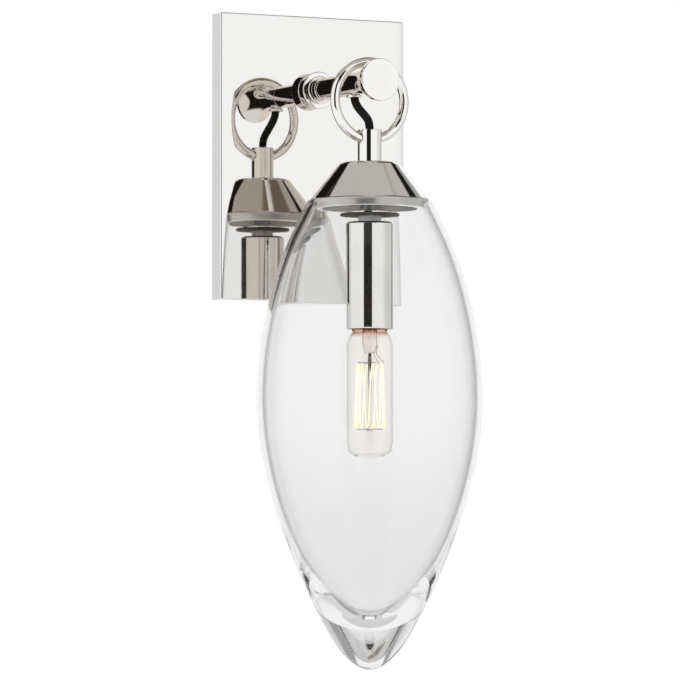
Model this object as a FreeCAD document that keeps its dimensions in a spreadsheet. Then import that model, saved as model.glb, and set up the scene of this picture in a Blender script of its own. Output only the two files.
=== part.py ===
import FreeCAD, Part
import math
import os

import Sketcher

# Wall sconce: a hollow back plate, a short arm that flares to a flat round end, a ring hung over the
# arm, and a pendant that hangs on the ring by its stem: cap, clear glass shade, socket sleeve and lamp.
#
# Frame, in millimetres: the wall is the plane y = 0 and +Y goes into it, +Z is up, and the origin is the
# middle of the back plate's outline. The arm stands out along -Y. Pieces turned about the arm are drawn by
# radius and reach, the distance out from the plate's face. Pieces turned about the pendant's own line are
# drawn by radius and depth, the distance below the arm's axis.

SIZES = {
    # Back plate
    "plate_width": 112.0,
    "plate_height": 155.0,
    "plate_depth": 11.0,
    "plate_wall": 2.2,
    "plate_edge_round": 1.2,
    # Bracket on the wall box, inside the plate
    "bracket_thickness": 1.6,
    "bracket_side_gap": 3.0,
    "bracket_end_gap": 0.5,
    "bracket_front_gap": 1.0,
    "bracket_bar_height": 24.0,
    "bracket_tab_width": 26.0,
    "box_screw_spacing": 88.9,
    "box_slot_length": 9.0,
    "box_slot_width": 5.0,
    "box_slot_margin": 5.0,
    # Screws of the plate and of the earth wire
    "set_screw_radius": 2.0,
    "set_screw_overhang": 1.2,
    "set_screw_socket_flats": 2.0,
    "set_screw_socket_depth": 2.4,
    "earth_screw_radius": 2.0,
    "earth_screw_washer_radius": 4.6,
    "earth_screw_washer_thickness": 0.8,
    "earth_screw_head_radius": 3.8,
    "earth_screw_head_height": 2.6,
    "earth_screw_slot_width": 1.2,
    "earth_screw_slot_depth": 1.3,
    # Arm, on a threaded nipple through the plate
    "arm_rise": 37.0,
    "nipple_radius": 4.85,
    "nipple_bore_radius": 3.4,
    "nipple_tail": 1.0,
    "lock_nut_flats": 14.0,
    "lock_nut_thickness": 3.0,
    "lock_washer_radius": 8.2,
    "lock_washer_thickness": 0.8,
    "collar_foot_radius": 9.4,
    "collar_rim_radius": 10.1,
    "collar_rim_reach": 7.2,
    "collar_step_radius": 7.6,
    "collar_step_length": 1.5,
    "collar_boss_radius": 6.5,
    "collar_boss_length": 4.9,
    "collar_round": 0.6,
    "collar_boss_round": 0.3,
    "arm_radius": 5.9,
    "arm_joint_setback": 8.8,
    "arm_spigot_length": 7.0,
    "arm_nipple_setback": 7.0,
    "arm_bore_radius": 3.6,
    "arm_bore_past_bushing": 6.2,
    "flare_past_bushing": 3.2,
    "flare_past_pendant": 9.7,
    "end_cap_radius": 11.3,
    "end_cap_thickness": 2.8,
    "end_cap_round": 0.5,
    "end_cap_stud_radius": 3.0,
    "end_cap_stud_length": 5.0,
    # Bushing under the arm, the flex through it and the wires inside
    "bushing_reach": 46.8,
    "bushing_flange_radius": 4.25,
    "bushing_flange_bottom": 7.4,
    "bushing_flange_thickness": 1.4,
    "bushing_flange_round": 0.5,
    "bushing_neck_radius": 3.4,
    "bushing_neck_top": 4.6,
    "bushing_bore_radius": 2.65,
    "flex_radius": 2.2,
    "wire_insulation_radius": 0.9,
    "arm_wire_spread": 1.1,
    "arm_wire_drop": 1.9,
    "arm_wire_tail": 7.2,
    # Ring over the arm
    "pendant_reach": 64.5,
    "ring_radius": 20.8,
    "ring_wire_radius": 2.55,
    "ring_seat_depth": 0.23,
    # Stem that hangs on the ring
    "stem_radius": 6.45,
    "stem_wall": 1.05,
    "stem_head": 5.2,
    "stem_tail": 12.2,
    "stem_thread_length": 5.4,
    "stem_round": 0.35,
    "cross_hole_gap": 0.7,
    "socket_wire_gap": 0.6,
    "socket_wire_start_gap": 1.1,
    "socket_wire_spread": 1.9,
    # Cap and the nipple that carries the socket
    "cap_height": 20.1,
    "cap_top_radius": 15.6,
    "cap_bottom_radius": 31.9,
    "cap_shoulder_round": 2.2,
    "cap_top_thickness": 2.5,
    "cap_wall": 2.2,
    "cap_nut_flats": 14.0,
    "cap_nut_thickness": 3.5,
    "shield_washer_drop": 6.9,
    "shield_washer_radius": 11.8,
    "shield_washer_thickness": 1.0,
    "shield_disc_radius": 15.8,
    "shield_disc_thickness": 1.2,
    "socket_nut_flats": 12.0,
    "socket_nut_thickness": 3.3,
    # Socket sleeve and lampholder
    "sleeve_radius": 12.65,
    "sleeve_wall": 0.9,
    "sleeve_length": 56.4,
    "sleeve_top_thickness": 1.2,
    "sleeve_round": 1.4,
    "holder_radius": 11.2,
    "holder_setdown": 2.4,
    "holder_length": 46.0,
    "holder_round": 1.0,
    "holder_thread_length": 6.0,
    "holder_chamber_radius": 8.0,
    "holder_chamber_length": 12.0,
    "holder_web": 3.0,
    "screw_shell_wall": 0.45,
    "screw_shell_length": 21.0,
    "screw_shell_end_radius": 3.6,
    "contact_radius": 2.2,
    "contact_thickness": 0.6,
    "contact_rivet_radius": 0.9,
    "contact_rivet_head_radius": 1.8,
    "contact_rivet_head": 0.5,
    "contact_drop": 2.6,
    "terminal_screw_radius": 1.3,
    "terminal_screw_head_radius": 2.3,
    "terminal_screw_head_height": 1.5,
    "terminal_screw_spread": 4.6,
    "terminal_slot_width": 0.6,
    "terminal_slot_depth": 0.7,
    # Lamp
    "lamp_base_radius": 5.95,
    "lamp_base_wall": 0.35,
    "lamp_base_length": 19.5,
    "lamp_base_end_radius": 3.0,
    "lamp_insulator_height": 1.8,
    "lamp_tip_radius": 1.9,
    "lamp_tip_height": 0.9,
    "lamp_tip_round": 0.45,
    "lamp_glass_wall": 0.7,
    "lamp_neck_radius": 5.5,
    "lamp_neck_insertion": 8.0,
    "lamp_collar_radius": 9.5,
    "lamp_collar_drop": 2.0,
    "lamp_collar_flare": 4.6,
    "lamp_radius": 12.7,
    "lamp_shoulder_length": 6.2,
    "lamp_side_length": 52.1,
    "lamp_dome_height": 8.5,
    "lamp_dome_corner": 6.5,
    "mount_tube_radius": 3.9,
    "mount_tube_end": 8.4,
    "mount_press_end": 12.6,
    "mount_press_radius": 2.6,
    "mount_rod_radius": 0.9,
    "mount_button_radius": 1.7,
    "mount_button_height": 1.7,
    "filament_cage_radius": 8.4,
    "filament_top": 18.0,
    "filament_bottom": 53.0,
    "filament_radius": 0.3,
    "support_radius": 0.25,
    "lead_in_spread": 3.1,
    # Glass shade and the collar bonded in its neck
    "shade_height": 249.2,
    "shade_radius": 59.8,
    "shade_wall": 3.2,
    "shade_neck_wall": 3.8,
    "shade_cavity_depth": 224.4,
    "shade_rim_round": 0.9,
    "shade_collar_radius": 28.9,
    "shade_collar_drop": 4.9,
    "shade_collar_bore_radius": 25.4,
    "shade_spigot_radius": 26.8,
    "shade_spigot_height": 3.0,
    "shade_bond_thickness": 0.7,
    "shade_bond_inset": 0.5,
    # Clearances
    "seat_gap": 0.3,
    "thread_gap": 0.05,
    "running_gap": 0.08,
    "touch_gap": 0.1,
    # Overrun of every cut past the faces that it opens, and how near two places are when they are the same
    "cut_overrun": 2.0,
    "same_place": 0.001,
}

# Outline of the shade below its rim: share of the height, then share of the largest radius.
SHADE_OUTER_SHARES = (
    (0.094, 0.737),
    (0.255, 0.933),
    (0.447, 1.0),
    (0.620, 0.884),
    (0.780, 0.652),
    (0.928, 0.350),
    (0.980, 0.180),
)
# Outline of its cavity, as shares of the cavity's own depth and largest radius.
SHADE_CAVITY_SHARES = (
    (0.105, 0.713),
    (0.283, 0.927),
    (0.497, 1.0),
    (0.694, 0.871),
    (0.848, 0.633),
    (0.954, 0.335),
)
# Middle of the flex, from inside the bushing to inside the stem: share of the way out from the bushing's
# line to the pendant's, then share of the way down from the arm's axis to the stem's top.
FLEX_SHARES = (
    (0.0, 0.119),
    (0.006, 0.308),
    (0.175, 0.462),
    (0.503, 0.612),
    (0.800, 0.735),
    (0.975, 0.850),
    (1.0, 1.008),
)
# How far along its shorter run an arc of a wire starts, and how much a wire's volume may differ.
BEND_SHARE = 0.45
VOLUME_SHARE = 0.02
# How far below the ring's hinge the socket's wires turn in, as a share of the stem's height above it.
WIRE_TURN_SHARE = 0.58
FILAMENT_STRANDS = 8


class Length:
    """A length worked out from the sheet: its value in millimetres and the expression that gives it."""

    def __init__(self, number, text):
        self.number = number
        self.text = text

    def _with(self, sign, other, number):
        return Length(number, f"({self.text} {sign} {text_of(other)})")

    def __add__(self, other):
        return self._with("+", other, self.number + number_of(other))

    def __sub__(self, other):
        return self._with("-", other, self.number - number_of(other))

    def __mul__(self, other):
        return self._with("*", other, self.number * number_of(other))

    def __truediv__(self, other):
        return self._with("/", other, self.number / number_of(other))

    def __rmul__(self, other):
        return Length(other * self.number, f"({other} * {self.text})")

    def __neg__(self):
        return Length(-self.number, f"(-1 * {self.text})")

    def root(self):
        return Length(math.sqrt(self.number), f"sqrt({self.text})")


def number_of(value):
    return value.number if isinstance(value, Length) else float(value)


def text_of(value):
    return value.text if isinstance(value, Length) else str(value)


class Sheet:
    """The driving dimensions in a spreadsheet, each read back as a Length by its own name."""

    def __init__(self, document, sizes):
        self.cells = document.addObject("Spreadsheet::Sheet", "Sizes")
        self.rows = 0
        for name, number in sizes.items():
            self.write(name, str(number))
        document.recompute()

    def __getattr__(self, name):
        return Length(float(self.cells.get(name)), f"Sizes.{name}")

    def write(self, name, content):
        self.rows += 1
        self.cells.set(f"A{self.rows}", name)
        self.cells.set(f"B{self.rows}", content)
        self.cells.setAlias(f"B{self.rows}", name)

    def derived(self, name, length):
        """Writes a worked-out length into the sheet under its own name."""
        self.write(name, "=" + length.text.replace("Sizes.", ""))
        self.cells.Document.recompute()
        return getattr(self, name)


doc = FreeCAD.newDocument("WallSconce")
size = Sheet(doc, SIZES)
nodes = []

# Places that several pieces share. Depths are below the arm's axis, reaches are out from the plate's face.
arm_height = size.arm_rise
plate_face = -size.plate_depth
arm_joint = size.bushing_reach - size.arm_joint_setback
arm_spigot_start = arm_joint - size.arm_spigot_length
arm_nipple_end = arm_spigot_start - size.arm_nipple_setback
flare_start = size.bushing_reach + size.flare_past_bushing
flare_end = size.pendant_reach + size.flare_past_pendant
pendant_line = -(size.plate_depth + size.pendant_reach)
flare_spread = size.end_cap_radius - size.arm_radius
flare_square = (flare_end - flare_start) * (flare_end - flare_start) + flare_spread * flare_spread
flare_curve = size.derived("flare_curve", flare_square / (flare_spread * 2))
seat_run = size.pendant_reach - flare_start
seat_rise = size.derived("seat_rise", flare_curve - (flare_curve * flare_curve - seat_run * seat_run).root())
seat_radius = size.ring_wire_radius + size.seat_gap
seat_height = size.derived("seat_height", size.arm_radius + seat_rise + seat_radius - size.ring_seat_depth)
ring_drop = size.ring_radius - seat_height
hinge_depth = ring_drop + size.ring_radius
stem_top = hinge_depth - size.stem_head
cap_top = hinge_depth + size.stem_tail
cap_bottom = cap_top + size.cap_height
shield_washer_top = cap_bottom + size.shield_washer_drop
shield_disc_top = shield_washer_top + size.shield_washer_thickness
socket_nut_top = shield_disc_top + size.shield_disc_thickness
sleeve_top = socket_nut_top + size.socket_nut_thickness
sleeve_bottom = sleeve_top + size.sleeve_length
holder_top = sleeve_top + size.holder_setdown
holder_bottom = holder_top + size.holder_length
chamber_top = holder_top + size.holder_thread_length
chamber_bottom = chamber_top + size.holder_chamber_length
shell_top = chamber_bottom + size.holder_web
contact_bottom = shell_top + size.contact_drop
lamp_tip_top = contact_bottom + size.touch_gap
lamp_base_top = lamp_tip_top + size.lamp_tip_height + size.lamp_insulator_height
lamp_base_bottom = lamp_base_top + size.lamp_base_length
lamp_collar_bottom = sleeve_bottom + size.lamp_collar_drop
lamp_side_top = lamp_collar_bottom + size.lamp_shoulder_length
lamp_side_bottom = lamp_side_top + size.lamp_side_length
lamp_bottom = lamp_side_bottom + size.lamp_dome_height
shade_top = cap_bottom + size.seat_gap
thread_bore = size.nipple_radius + size.thread_gap
shell_bore = size.lamp_base_radius + size.running_gap
shell_radius = shell_bore + size.screw_shell_wall
collar_joint = size.shade_spigot_radius + size.running_gap
neck_bore = size.shade_collar_radius + size.shade_bond_thickness


def bind(item, name, length):
    setattr(item, name, length.number)
    item.setExpression(name, length.text)


def place(item, x, y, z, axis=(0, 0, 1), angle=0):
    base = FreeCAD.Vector(number_of(x), number_of(y), number_of(z))
    item.Placement = FreeCAD.Placement(base, FreeCAD.Rotation(FreeCAD.Vector(*axis), angle))
    for path, length in (("x", x), ("y", y), ("z", z)):
        if isinstance(length, Length):
            item.setExpression(f"Placement.Base.{path}", length.text)
    return item


def on_arm(item):
    """Stands a piece drawn by radius and reach on the arm's axis, its own +Z pointing away from the wall."""
    return place(item, 0, plate_face, arm_height, (1, 0, 0), 90)


def on_pendant(item):
    """Hangs a piece drawn by radius and depth on the pendant's line, its own origin level with the arm."""
    return place(item, 0, pendant_line, arm_height)


def node(item, name):
    item.Label = name
    nodes.append(item)
    return item


def body(name):
    return doc.addObject("PartDesign::Body", name)


def sketch_on(owner, role):
    plane = next(item for item in owner.Origin.OriginFeatures if item.Role == role)
    sketch = owner.newObject("Sketcher::SketchObject", owner.Name + "Sketch")
    sketch.AttachmentSupport = (plane, [""])
    sketch.MapMode = "FlatFace"
    return sketch


def pin(sketch, line, end, place_name, length):
    """Ties one end of a line to the sketch's origin, across or up."""
    if isinstance(length, Length):
        index = sketch.addConstraint(Sketcher.Constraint(place_name, -1, 1, line, end, length.number))
        sketch.setExpression(f"Constraints[{index}]", length.text)
    else:
        across_axis = -2 if place_name == "DistanceX" else -1
        sketch.addConstraint(Sketcher.Constraint("PointOnObject", line, end, across_axis))


def arc_through(start, end, radius, side):
    """The arc of that radius from start to end, with its centre left (1) or right (-1) of the chord."""
    chord = end - start
    half = chord.Length / 2
    rise = math.sqrt(max(radius * radius - half * half, 0.0))
    left = FreeCAD.Vector(-chord.y, chord.x, 0).normalize()
    centre = start + chord / 2 + left * rise * side
    first, last = (start, end) if side > 0 else (end, start)
    angles = [math.atan2(point.y - centre.y, point.x - centre.x) for point in (first, last)]
    if angles[1] < angles[0]:
        angles[1] += 2 * math.pi
    circle = Part.Circle(centre, FreeCAD.Vector(0, 0, 1), radius)
    return Part.ArcOfCircle(circle, angles[0], angles[1])


def is_half_round(start, end, radius):
    return abs(start.distanceToPoint(end) / 2 - radius) < size.same_place.number


def outline(sketch, corners, arcs=None):
    """A closed outline through the corners. arcs gives the radius and side of each stretch that is round."""
    arcs = arcs or {}
    points = [FreeCAD.Vector(number_of(x), number_of(y), 0) for x, y in corners]
    ends = []
    for index, start in enumerate(points):
        finish = points[(index + 1) % len(points)]
        if index in arcs:
            radius, side = arcs[index]
            line = sketch.addGeometry(arc_through(start, finish, number_of(radius), side))
            if is_half_round(start, finish, number_of(radius)):
                upright = start.x == finish.x
                across, up = corners[index]
                pin(sketch, line, 3, "DistanceX" if upright else "DistanceY", across if upright else up)
            else:
                tie = sketch.addConstraint(Sketcher.Constraint("Radius", line, number_of(radius)))
                sketch.setExpression(f"Constraints[{tie}]", radius.text)
            ends.append((line, 1, 2) if side > 0 else (line, 2, 1))
        else:
            line = sketch.addGeometry(Part.LineSegment(start, finish))
            ends.append((line, 1, 2))
    for index, (line, first, last) in enumerate(ends):
        following = ends[(index + 1) % len(ends)]
        sketch.addConstraint(Sketcher.Constraint("Coincident", line, last, following[0], following[1]))
        pin(sketch, line, first, "DistanceX", corners[index][0])
        pin(sketch, line, first, "DistanceY", corners[index][1])
    return sketch


def rectangle(sketch, low_x, high_x, low_y, high_y):
    return outline(sketch, ((low_x, low_y), (high_x, low_y), (high_x, high_y), (low_x, high_y)))


def circle(sketch, x, y, radius):
    centre = FreeCAD.Vector(number_of(x), number_of(y), 0)
    line = sketch.addGeometry(Part.Circle(centre, FreeCAD.Vector(0, 0, 1), radius.number))
    tie = sketch.addConstraint(Sketcher.Constraint("Radius", line, radius.number))
    sketch.setExpression(f"Constraints[{tie}]", radius.text)
    pin(sketch, line, 3, "DistanceX", x)
    pin(sketch, line, 3, "DistanceY", y)
    return sketch


def turned(name, corners, arcs=None, down=False):
    """A body turned about its own Z axis from corners of radius and reach, or of radius and depth."""
    owner = body(name + "_body")
    sketch = sketch_on(owner, "XZ_Plane")
    if down:
        corners = [(radius, -depth if isinstance(depth, Length) else depth) for radius, depth in corners]
    outline(sketch, corners, arcs)
    feature = owner.newObject("PartDesign::Revolution", owner.Name + "Turn")
    feature.Profile = sketch
    feature.ReferenceAxis = (sketch, ["V_Axis"])
    feature.Angle = 360
    doc.recompute()
    return owner


def padded(owner, sketch, length, reversed_side=False):
    feature = owner.newObject("PartDesign::Pad", owner.Name + "Pad")
    feature.Profile = sketch
    bind(feature, "Length", length)
    feature.Reversed = reversed_side
    doc.recompute()
    return feature


def pocketed(owner, sketch, length=None, reversed_side=False):
    """Cuts the sketch to a length, or right through both ways where none is given."""
    before = owner.Shape.Volume
    feature = owner.newObject("PartDesign::Pocket", owner.Name + "Pocket")
    feature.Profile = sketch
    if length is None:
        feature.Type = "ThroughAll"
        feature.SideType = "Symmetric"
    else:
        bind(feature, "Length", length)
        feature.Reversed = reversed_side
    doc.recompute()
    if not owner.Shape.Volume < before:
        raise RuntimeError(f"{feature.Name} cut nothing")
    return feature


def filleted(owner, kind, radius, chosen):
    """Rounds or bevels the edges of the body's last feature that chosen picks."""
    base = owner.Tip
    names = [f"Edge{number}" for number, edge in enumerate(base.Shape.Edges, start=1) if chosen(edge)]
    if not names:
        raise RuntimeError(f"{owner.Name} has no such edge")
    feature = owner.newObject(f"PartDesign::{kind}", owner.Name + kind)
    feature.Base = (base, names)
    bind(feature, "Radius" if kind == "Fillet" else "Size", radius)
    doc.recompute()
    return feature


def edge_at(radius, level):
    """Picks a round edge of that radius about the body's Z axis at that level."""

    def chosen(edge):
        curve = edge.Curve
        if not isinstance(curve, Part.Circle):
            return False
        near = abs(curve.Radius - number_of(radius)) < size.same_place.number
        return near and abs(curve.Center.z - number_of(level)) < size.same_place.number

    return chosen


def cut(base, tool, name):
    result = doc.addObject("Part::Cut", name + "_cut")
    result.Base = base
    result.Tool = tool
    doc.recompute()
    if not result.Shape.Volume < base.Shape.Volume:
        raise RuntimeError(f"{name} lost nothing to its cut")
    return result


def cylinder(name, radius, length):
    item = doc.addObject("Part::Cylinder", name)
    bind(item, "Radius", radius)
    bind(item, "Height", length)
    return item


def hexagon(name, flats, length):
    item = doc.addObject("Part::Prism", name)
    item.Polygon = 6
    bind(item, "Circumradius", flats / math.sqrt(3))
    bind(item, "Height", length)
    return item


def box(name, x_length, y_length, z_length):
    item = doc.addObject("Part::Box", name)
    bind(item, "Length", x_length)
    bind(item, "Width", y_length)
    bind(item, "Height", z_length)
    return item


def group(name, items):
    result = doc.addObject("Part::Compound", name + "_group")
    result.Links = items
    doc.recompute()
    return result


def shaped(name, shape):
    item = doc.addObject("Part::Feature", name + "_shape")
    item.Shape = shape
    return item


def ring_section(name, inner, outer, top, bottom):
    """A plain ring about the pendant's line between two radii and two depths."""
    return turned(name, ((inner, top), (outer, top), (outer, bottom), (inner, bottom)), down=True)


def nut(name, flats, thickness):
    """A hexagon nut with a plain bore for its thread, standing on its own origin."""
    blank = hexagon(name + "_blank", flats, thickness)
    bore = cylinder(name + "_bore", thread_bore, thickness + size.cut_overrun + size.cut_overrun)
    place(bore, 0, 0, -size.cut_overrun)
    return cut(blank, bore, name)


def backplate():
    owner = body("backplate_body")
    half_width = size.plate_width / 2
    half_height = size.plate_height / 2
    sketch = rectangle(sketch_on(owner, "XZ_Plane"), -half_width, half_width, -half_height, half_height)
    padded(owner, sketch, size.plate_depth)
    near = size.same_place.number
    face = near - size.plate_depth.number

    def in_front(edge):
        span = edge.BoundBox
        return span.YMax < face or (span.XLength < near and span.ZLength < near)

    filleted(owner, "Fillet", size.plate_edge_round, in_front)
    inner_width = half_width - size.plate_wall
    inner_height = half_height - size.plate_wall
    inside = sketch_on(owner, "XZ_Plane")
    hollow = rectangle(inside, -inner_width, inner_width, -inner_height, inner_height)
    pocketed(owner, hollow, size.plate_depth - size.plate_wall, True)
    bore = circle(sketch_on(owner, "XZ_Plane"), 0, arm_height, thread_bore)
    pocketed(owner, bore)
    bore_radius = size.set_screw_radius + size.thread_gap
    screw_bores = circle(sketch_on(owner, "XY_Plane"), 0, -set_screw_line(), bore_radius)
    pocketed(owner, screw_bores)
    return node(owner, "backplate")


def set_screw_line():
    """Distance of the two plate screws from the wall: the middle of the bracket's tabs."""
    return (size.plate_depth - size.plate_wall - size.bracket_front_gap) / 2


def bracket_half_height():
    return size.plate_height / 2 - size.plate_wall - size.bracket_end_gap


def mounting_bracket():
    owner = body("mounting_bracket_body")
    half_width = size.plate_width / 2 - size.plate_wall - size.bracket_side_gap
    half_height = bracket_half_height()
    plate = rectangle(sketch_on(owner, "XZ_Plane"), -half_width, half_width, -half_height, half_height)
    padded(owner, plate, size.bracket_thickness)
    window_width = size.box_screw_spacing / 2 - size.box_slot_length / 2 - size.box_slot_margin
    window_height = half_height - size.bracket_bar_height
    middle = sketch_on(owner, "XZ_Plane")
    window = rectangle(middle, -window_width, window_width, -window_height, window_height)
    pocketed(owner, window)
    for side in (-1, 1):
        slot_middle = side * (size.box_screw_spacing / 2)
        reach = (size.box_slot_length - size.box_slot_width) / 2
        radius = size.box_slot_width / 2
        low, high = slot_middle - reach, slot_middle + reach
        corners = ((low, -radius), (high, -radius), (high, radius), (low, radius))
        slot = outline(sketch_on(owner, "XZ_Plane"), corners, {1: (radius, 1), 3: (radius, 1)})
        pocketed(owner, slot)
    depth = size.plate_depth - size.plate_wall - size.bracket_front_gap
    for side in (-1, 1):
        outer = side * half_height
        inner = side * (half_height - size.bracket_thickness)
        half_tab = size.bracket_tab_width / 2
        low, high = (inner, outer) if side > 0 else (outer, inner)
        tab = rectangle(sketch_on(owner, "XZ_Plane"), -half_tab, half_tab, low, high)
        padded(owner, tab, depth)
    bore_radius = size.set_screw_radius + size.thread_gap
    screw_bores = circle(sketch_on(owner, "XY_Plane"), 0, -set_screw_line(), bore_radius)
    pocketed(owner, screw_bores)
    earth_radius = size.earth_screw_radius + size.thread_gap
    earth = circle(sketch_on(owner, "XZ_Plane"), 0, -earth_screw_drop(), earth_radius)
    pocketed(owner, earth)
    return node(owner, "mounting_bracket")


def earth_screw_drop():
    """Depth of the earth screw below the plate's middle: the middle of the bracket's lower bar."""
    return bracket_half_height() - size.bracket_bar_height / 2


def plate_set_screws():
    length = size.plate_wall + size.bracket_end_gap + size.bracket_thickness + size.set_screw_overhang
    screws = []
    for name, side in (("upper", 1), ("lower", -1)):
        shank = cylinder(f"{name}_set_screw_shank", size.set_screw_radius, length)
        depth = size.set_screw_socket_depth + size.cut_overrun
        socket = hexagon(f"{name}_set_screw_socket", size.set_screw_socket_flats, depth)
        place(socket, 0, 0, -size.cut_overrun)
        screw = cut(shank, socket, f"{name}_set_screw")
        turn = 180 if side > 0 else 0
        level = side * (size.plate_height / 2)
        screws.append(place(screw, 0, -set_screw_line(), level, (1, 0, 0), turn))
    return node(group("plate_set_screws", screws), "plate_set_screws")


def earth_screw():
    washer = size.bracket_thickness + size.earth_screw_washer_thickness
    head = washer + size.earth_screw_head_height
    corners = (
        (0, 0),
        (size.earth_screw_radius, 0),
        (size.earth_screw_radius, size.bracket_thickness),
        (size.earth_screw_washer_radius, size.bracket_thickness),
        (size.earth_screw_washer_radius, washer),
        (size.earth_screw_head_radius, washer),
        (size.earth_screw_head_radius, head),
        (0, head),
    )
    shank = turned("earth_screw", corners)
    slot_length = size.earth_screw_washer_radius * 2
    slot_depth = size.earth_screw_slot_depth
    slot = box("earth_screw_slot", slot_length, size.earth_screw_slot_width, slot_depth + size.cut_overrun)
    place(slot, -slot_length / 2, -size.earth_screw_slot_width / 2, head - slot_depth)
    screw = cut(shank, slot, "earth_screw")
    return node(place(screw, 0, 0, -earth_screw_drop(), (1, 0, 0), 90), "earth_screw")


def arm_nipple():
    behind = size.plate_wall + size.lock_washer_thickness + size.lock_nut_thickness + size.nipple_tail
    corners = (
        (size.nipple_bore_radius, -behind),
        (size.nipple_radius, -behind),
        (size.nipple_radius, arm_nipple_end),
        (size.nipple_bore_radius, arm_nipple_end),
    )
    return node(on_arm(turned("arm_nipple", corners)), "arm_nipple")


def arm_lock_washer():
    near = -size.plate_wall
    far = near - size.lock_washer_thickness
    edge = size.lock_washer_radius
    corners = ((thread_bore, far), (edge, far), (edge, near), (thread_bore, near))
    return node(on_arm(turned("arm_lock_washer", corners)), "arm_lock_washer")


def arm_lock_nut():
    item = nut("arm_lock_nut", size.lock_nut_flats, size.lock_nut_thickness)
    inside = plate_face + size.plate_wall + size.lock_washer_thickness + size.lock_nut_thickness
    return node(place(item, 0, inside, arm_height, (1, 0, 0), 90), "arm_lock_nut")


def collar_end():
    return size.collar_rim_reach + size.collar_step_length + size.collar_boss_length


def arm_collar():
    """Turned collar against the plate: a slightly flared foot with a flat face, a low step and a boss."""
    rim = size.collar_rim_reach
    step = rim + size.collar_step_length
    end = collar_end()
    small = size.collar_round
    fine = size.collar_boss_round
    corners = (
        (thread_bore, 0),
        (size.collar_foot_radius, 0),
        (size.collar_rim_radius, rim - small),
        (size.collar_rim_radius - small, rim),
        (size.collar_step_radius, rim),
        (size.collar_step_radius, step - small),
        (size.collar_step_radius - small, step),
        (size.collar_boss_radius, step),
        (size.collar_boss_radius, end - fine),
        (size.collar_boss_radius - fine, end),
        (thread_bore, end),
    )
    arcs = {2: (small, 1), 5: (small, 1), 8: (fine, 1)}
    return node(on_arm(turned("arm_collar", corners, arcs)), "arm_collar")


def arm_tube():
    start = collar_end()
    corners = (
        (thread_bore, start),
        (size.arm_radius, start),
        (size.arm_radius, arm_joint),
        (thread_bore, arm_joint),
    )
    return node(on_arm(turned("arm_tube", corners)), "arm_tube")


def arm_flare():
    """The arm's outer end: a spigot in the tube, then a curve out to the end cap, with the ring's seat."""
    bore_end = size.bushing_reach + size.arm_bore_past_bushing
    stud_bottom = flare_end - size.end_cap_stud_length - size.touch_gap
    stud_bore = size.end_cap_stud_radius + size.thread_gap
    corners = (
        (size.arm_bore_radius, arm_spigot_start),
        (size.nipple_radius, arm_spigot_start),
        (size.nipple_radius, arm_joint),
        (size.arm_radius, arm_joint),
        (size.arm_radius, flare_start),
        (size.end_cap_radius, flare_end),
        (stud_bore, flare_end),
        (stud_bore, stud_bottom),
        (0, stud_bottom),
        (0, bore_end),
        (size.arm_bore_radius, bore_end),
    )
    owner = turned("arm_flare", corners, {4: (flare_curve, -1)})
    before = owner.Shape.Volume
    seat = circle(sketch_on(owner, "XZ_Plane"), seat_height, size.pendant_reach, seat_radius)
    groove = owner.newObject("PartDesign::Groove", "arm_flare_seat")
    groove.Profile = seat
    groove.ReferenceAxis = (seat, ["V_Axis"])
    groove.Angle = 360
    doc.recompute()
    if not owner.Shape.Volume < before:
        raise RuntimeError("the ring's seat cut nothing")
    bore_length = size.arm_radius + size.cut_overrun
    bore = cylinder("arm_flare_bushing_bore", size.bushing_neck_radius + size.thread_gap, bore_length)
    place(bore, 0, 0, size.bushing_reach, (1, 0, 0), 90)
    return node(on_arm(cut(owner, bore, "arm_flare")), "arm_flare")


def arm_end_cap():
    face = flare_end + size.end_cap_thickness
    edge = size.end_cap_round
    stud = flare_end - size.end_cap_stud_length
    corners = (
        (0, stud),
        (size.end_cap_stud_radius, stud),
        (size.end_cap_stud_radius, flare_end),
        (size.end_cap_radius, flare_end),
        (size.end_cap_radius, face - edge),
        (size.end_cap_radius - edge, face),
        (0, face),
    )
    return node(on_arm(turned("arm_end_cap", corners, {4: (edge, 1)})), "arm_end_cap")


def flex_bushing():
    """Flanged bushing in the arm's underside, drawn by radius and depth below the arm's axis."""
    flange_top = size.bushing_flange_bottom - size.bushing_flange_thickness
    small = size.bushing_flange_round
    corners = (
        (size.bushing_bore_radius, size.bushing_neck_top),
        (size.bushing_neck_radius, size.bushing_neck_top),
        (size.bushing_neck_radius, flange_top),
        (size.bushing_flange_radius, flange_top),
        (size.bushing_flange_radius, size.bushing_flange_bottom - small),
        (size.bushing_flange_radius - small, size.bushing_flange_bottom),
        (size.bushing_bore_radius, size.bushing_flange_bottom),
    )
    item = turned("flex_bushing", corners, {4: (small, -1)}, down=True)
    return node(place(item, 0, plate_face - size.bushing_reach, arm_height), "flex_bushing")


def rounded_path(points):
    """Straight runs joined by tangent arcs, each as large as its two runs allow. Also gives the radii."""
    edges = []
    radii = []
    start = points[0]
    for before, corner, after in zip(points, points[1:], points[2:]):
        back = (before - corner).normalize()
        onward = (after - corner).normalize()
        half_turn = (math.pi - back.getAngle(onward)) / 2
        shorter = min(before.distanceToPoint(corner), after.distanceToPoint(corner))
        trim = BEND_SHARE * shorter
        radius = trim / math.tan(half_turn)
        into, out = corner + back * trim, corner + onward * trim
        bisector = (back + onward).normalize()
        nearest = radius / math.cos(half_turn) - radius
        edges.append(Part.LineSegment(start, into).toShape())
        edges.append(Part.Arc(into, corner + bisector * nearest, out).toShape())
        radii.append(radius)
        start = out
    edges.append(Part.LineSegment(start, points[-1]).toShape())
    return Part.Wire(edges), radii


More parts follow.
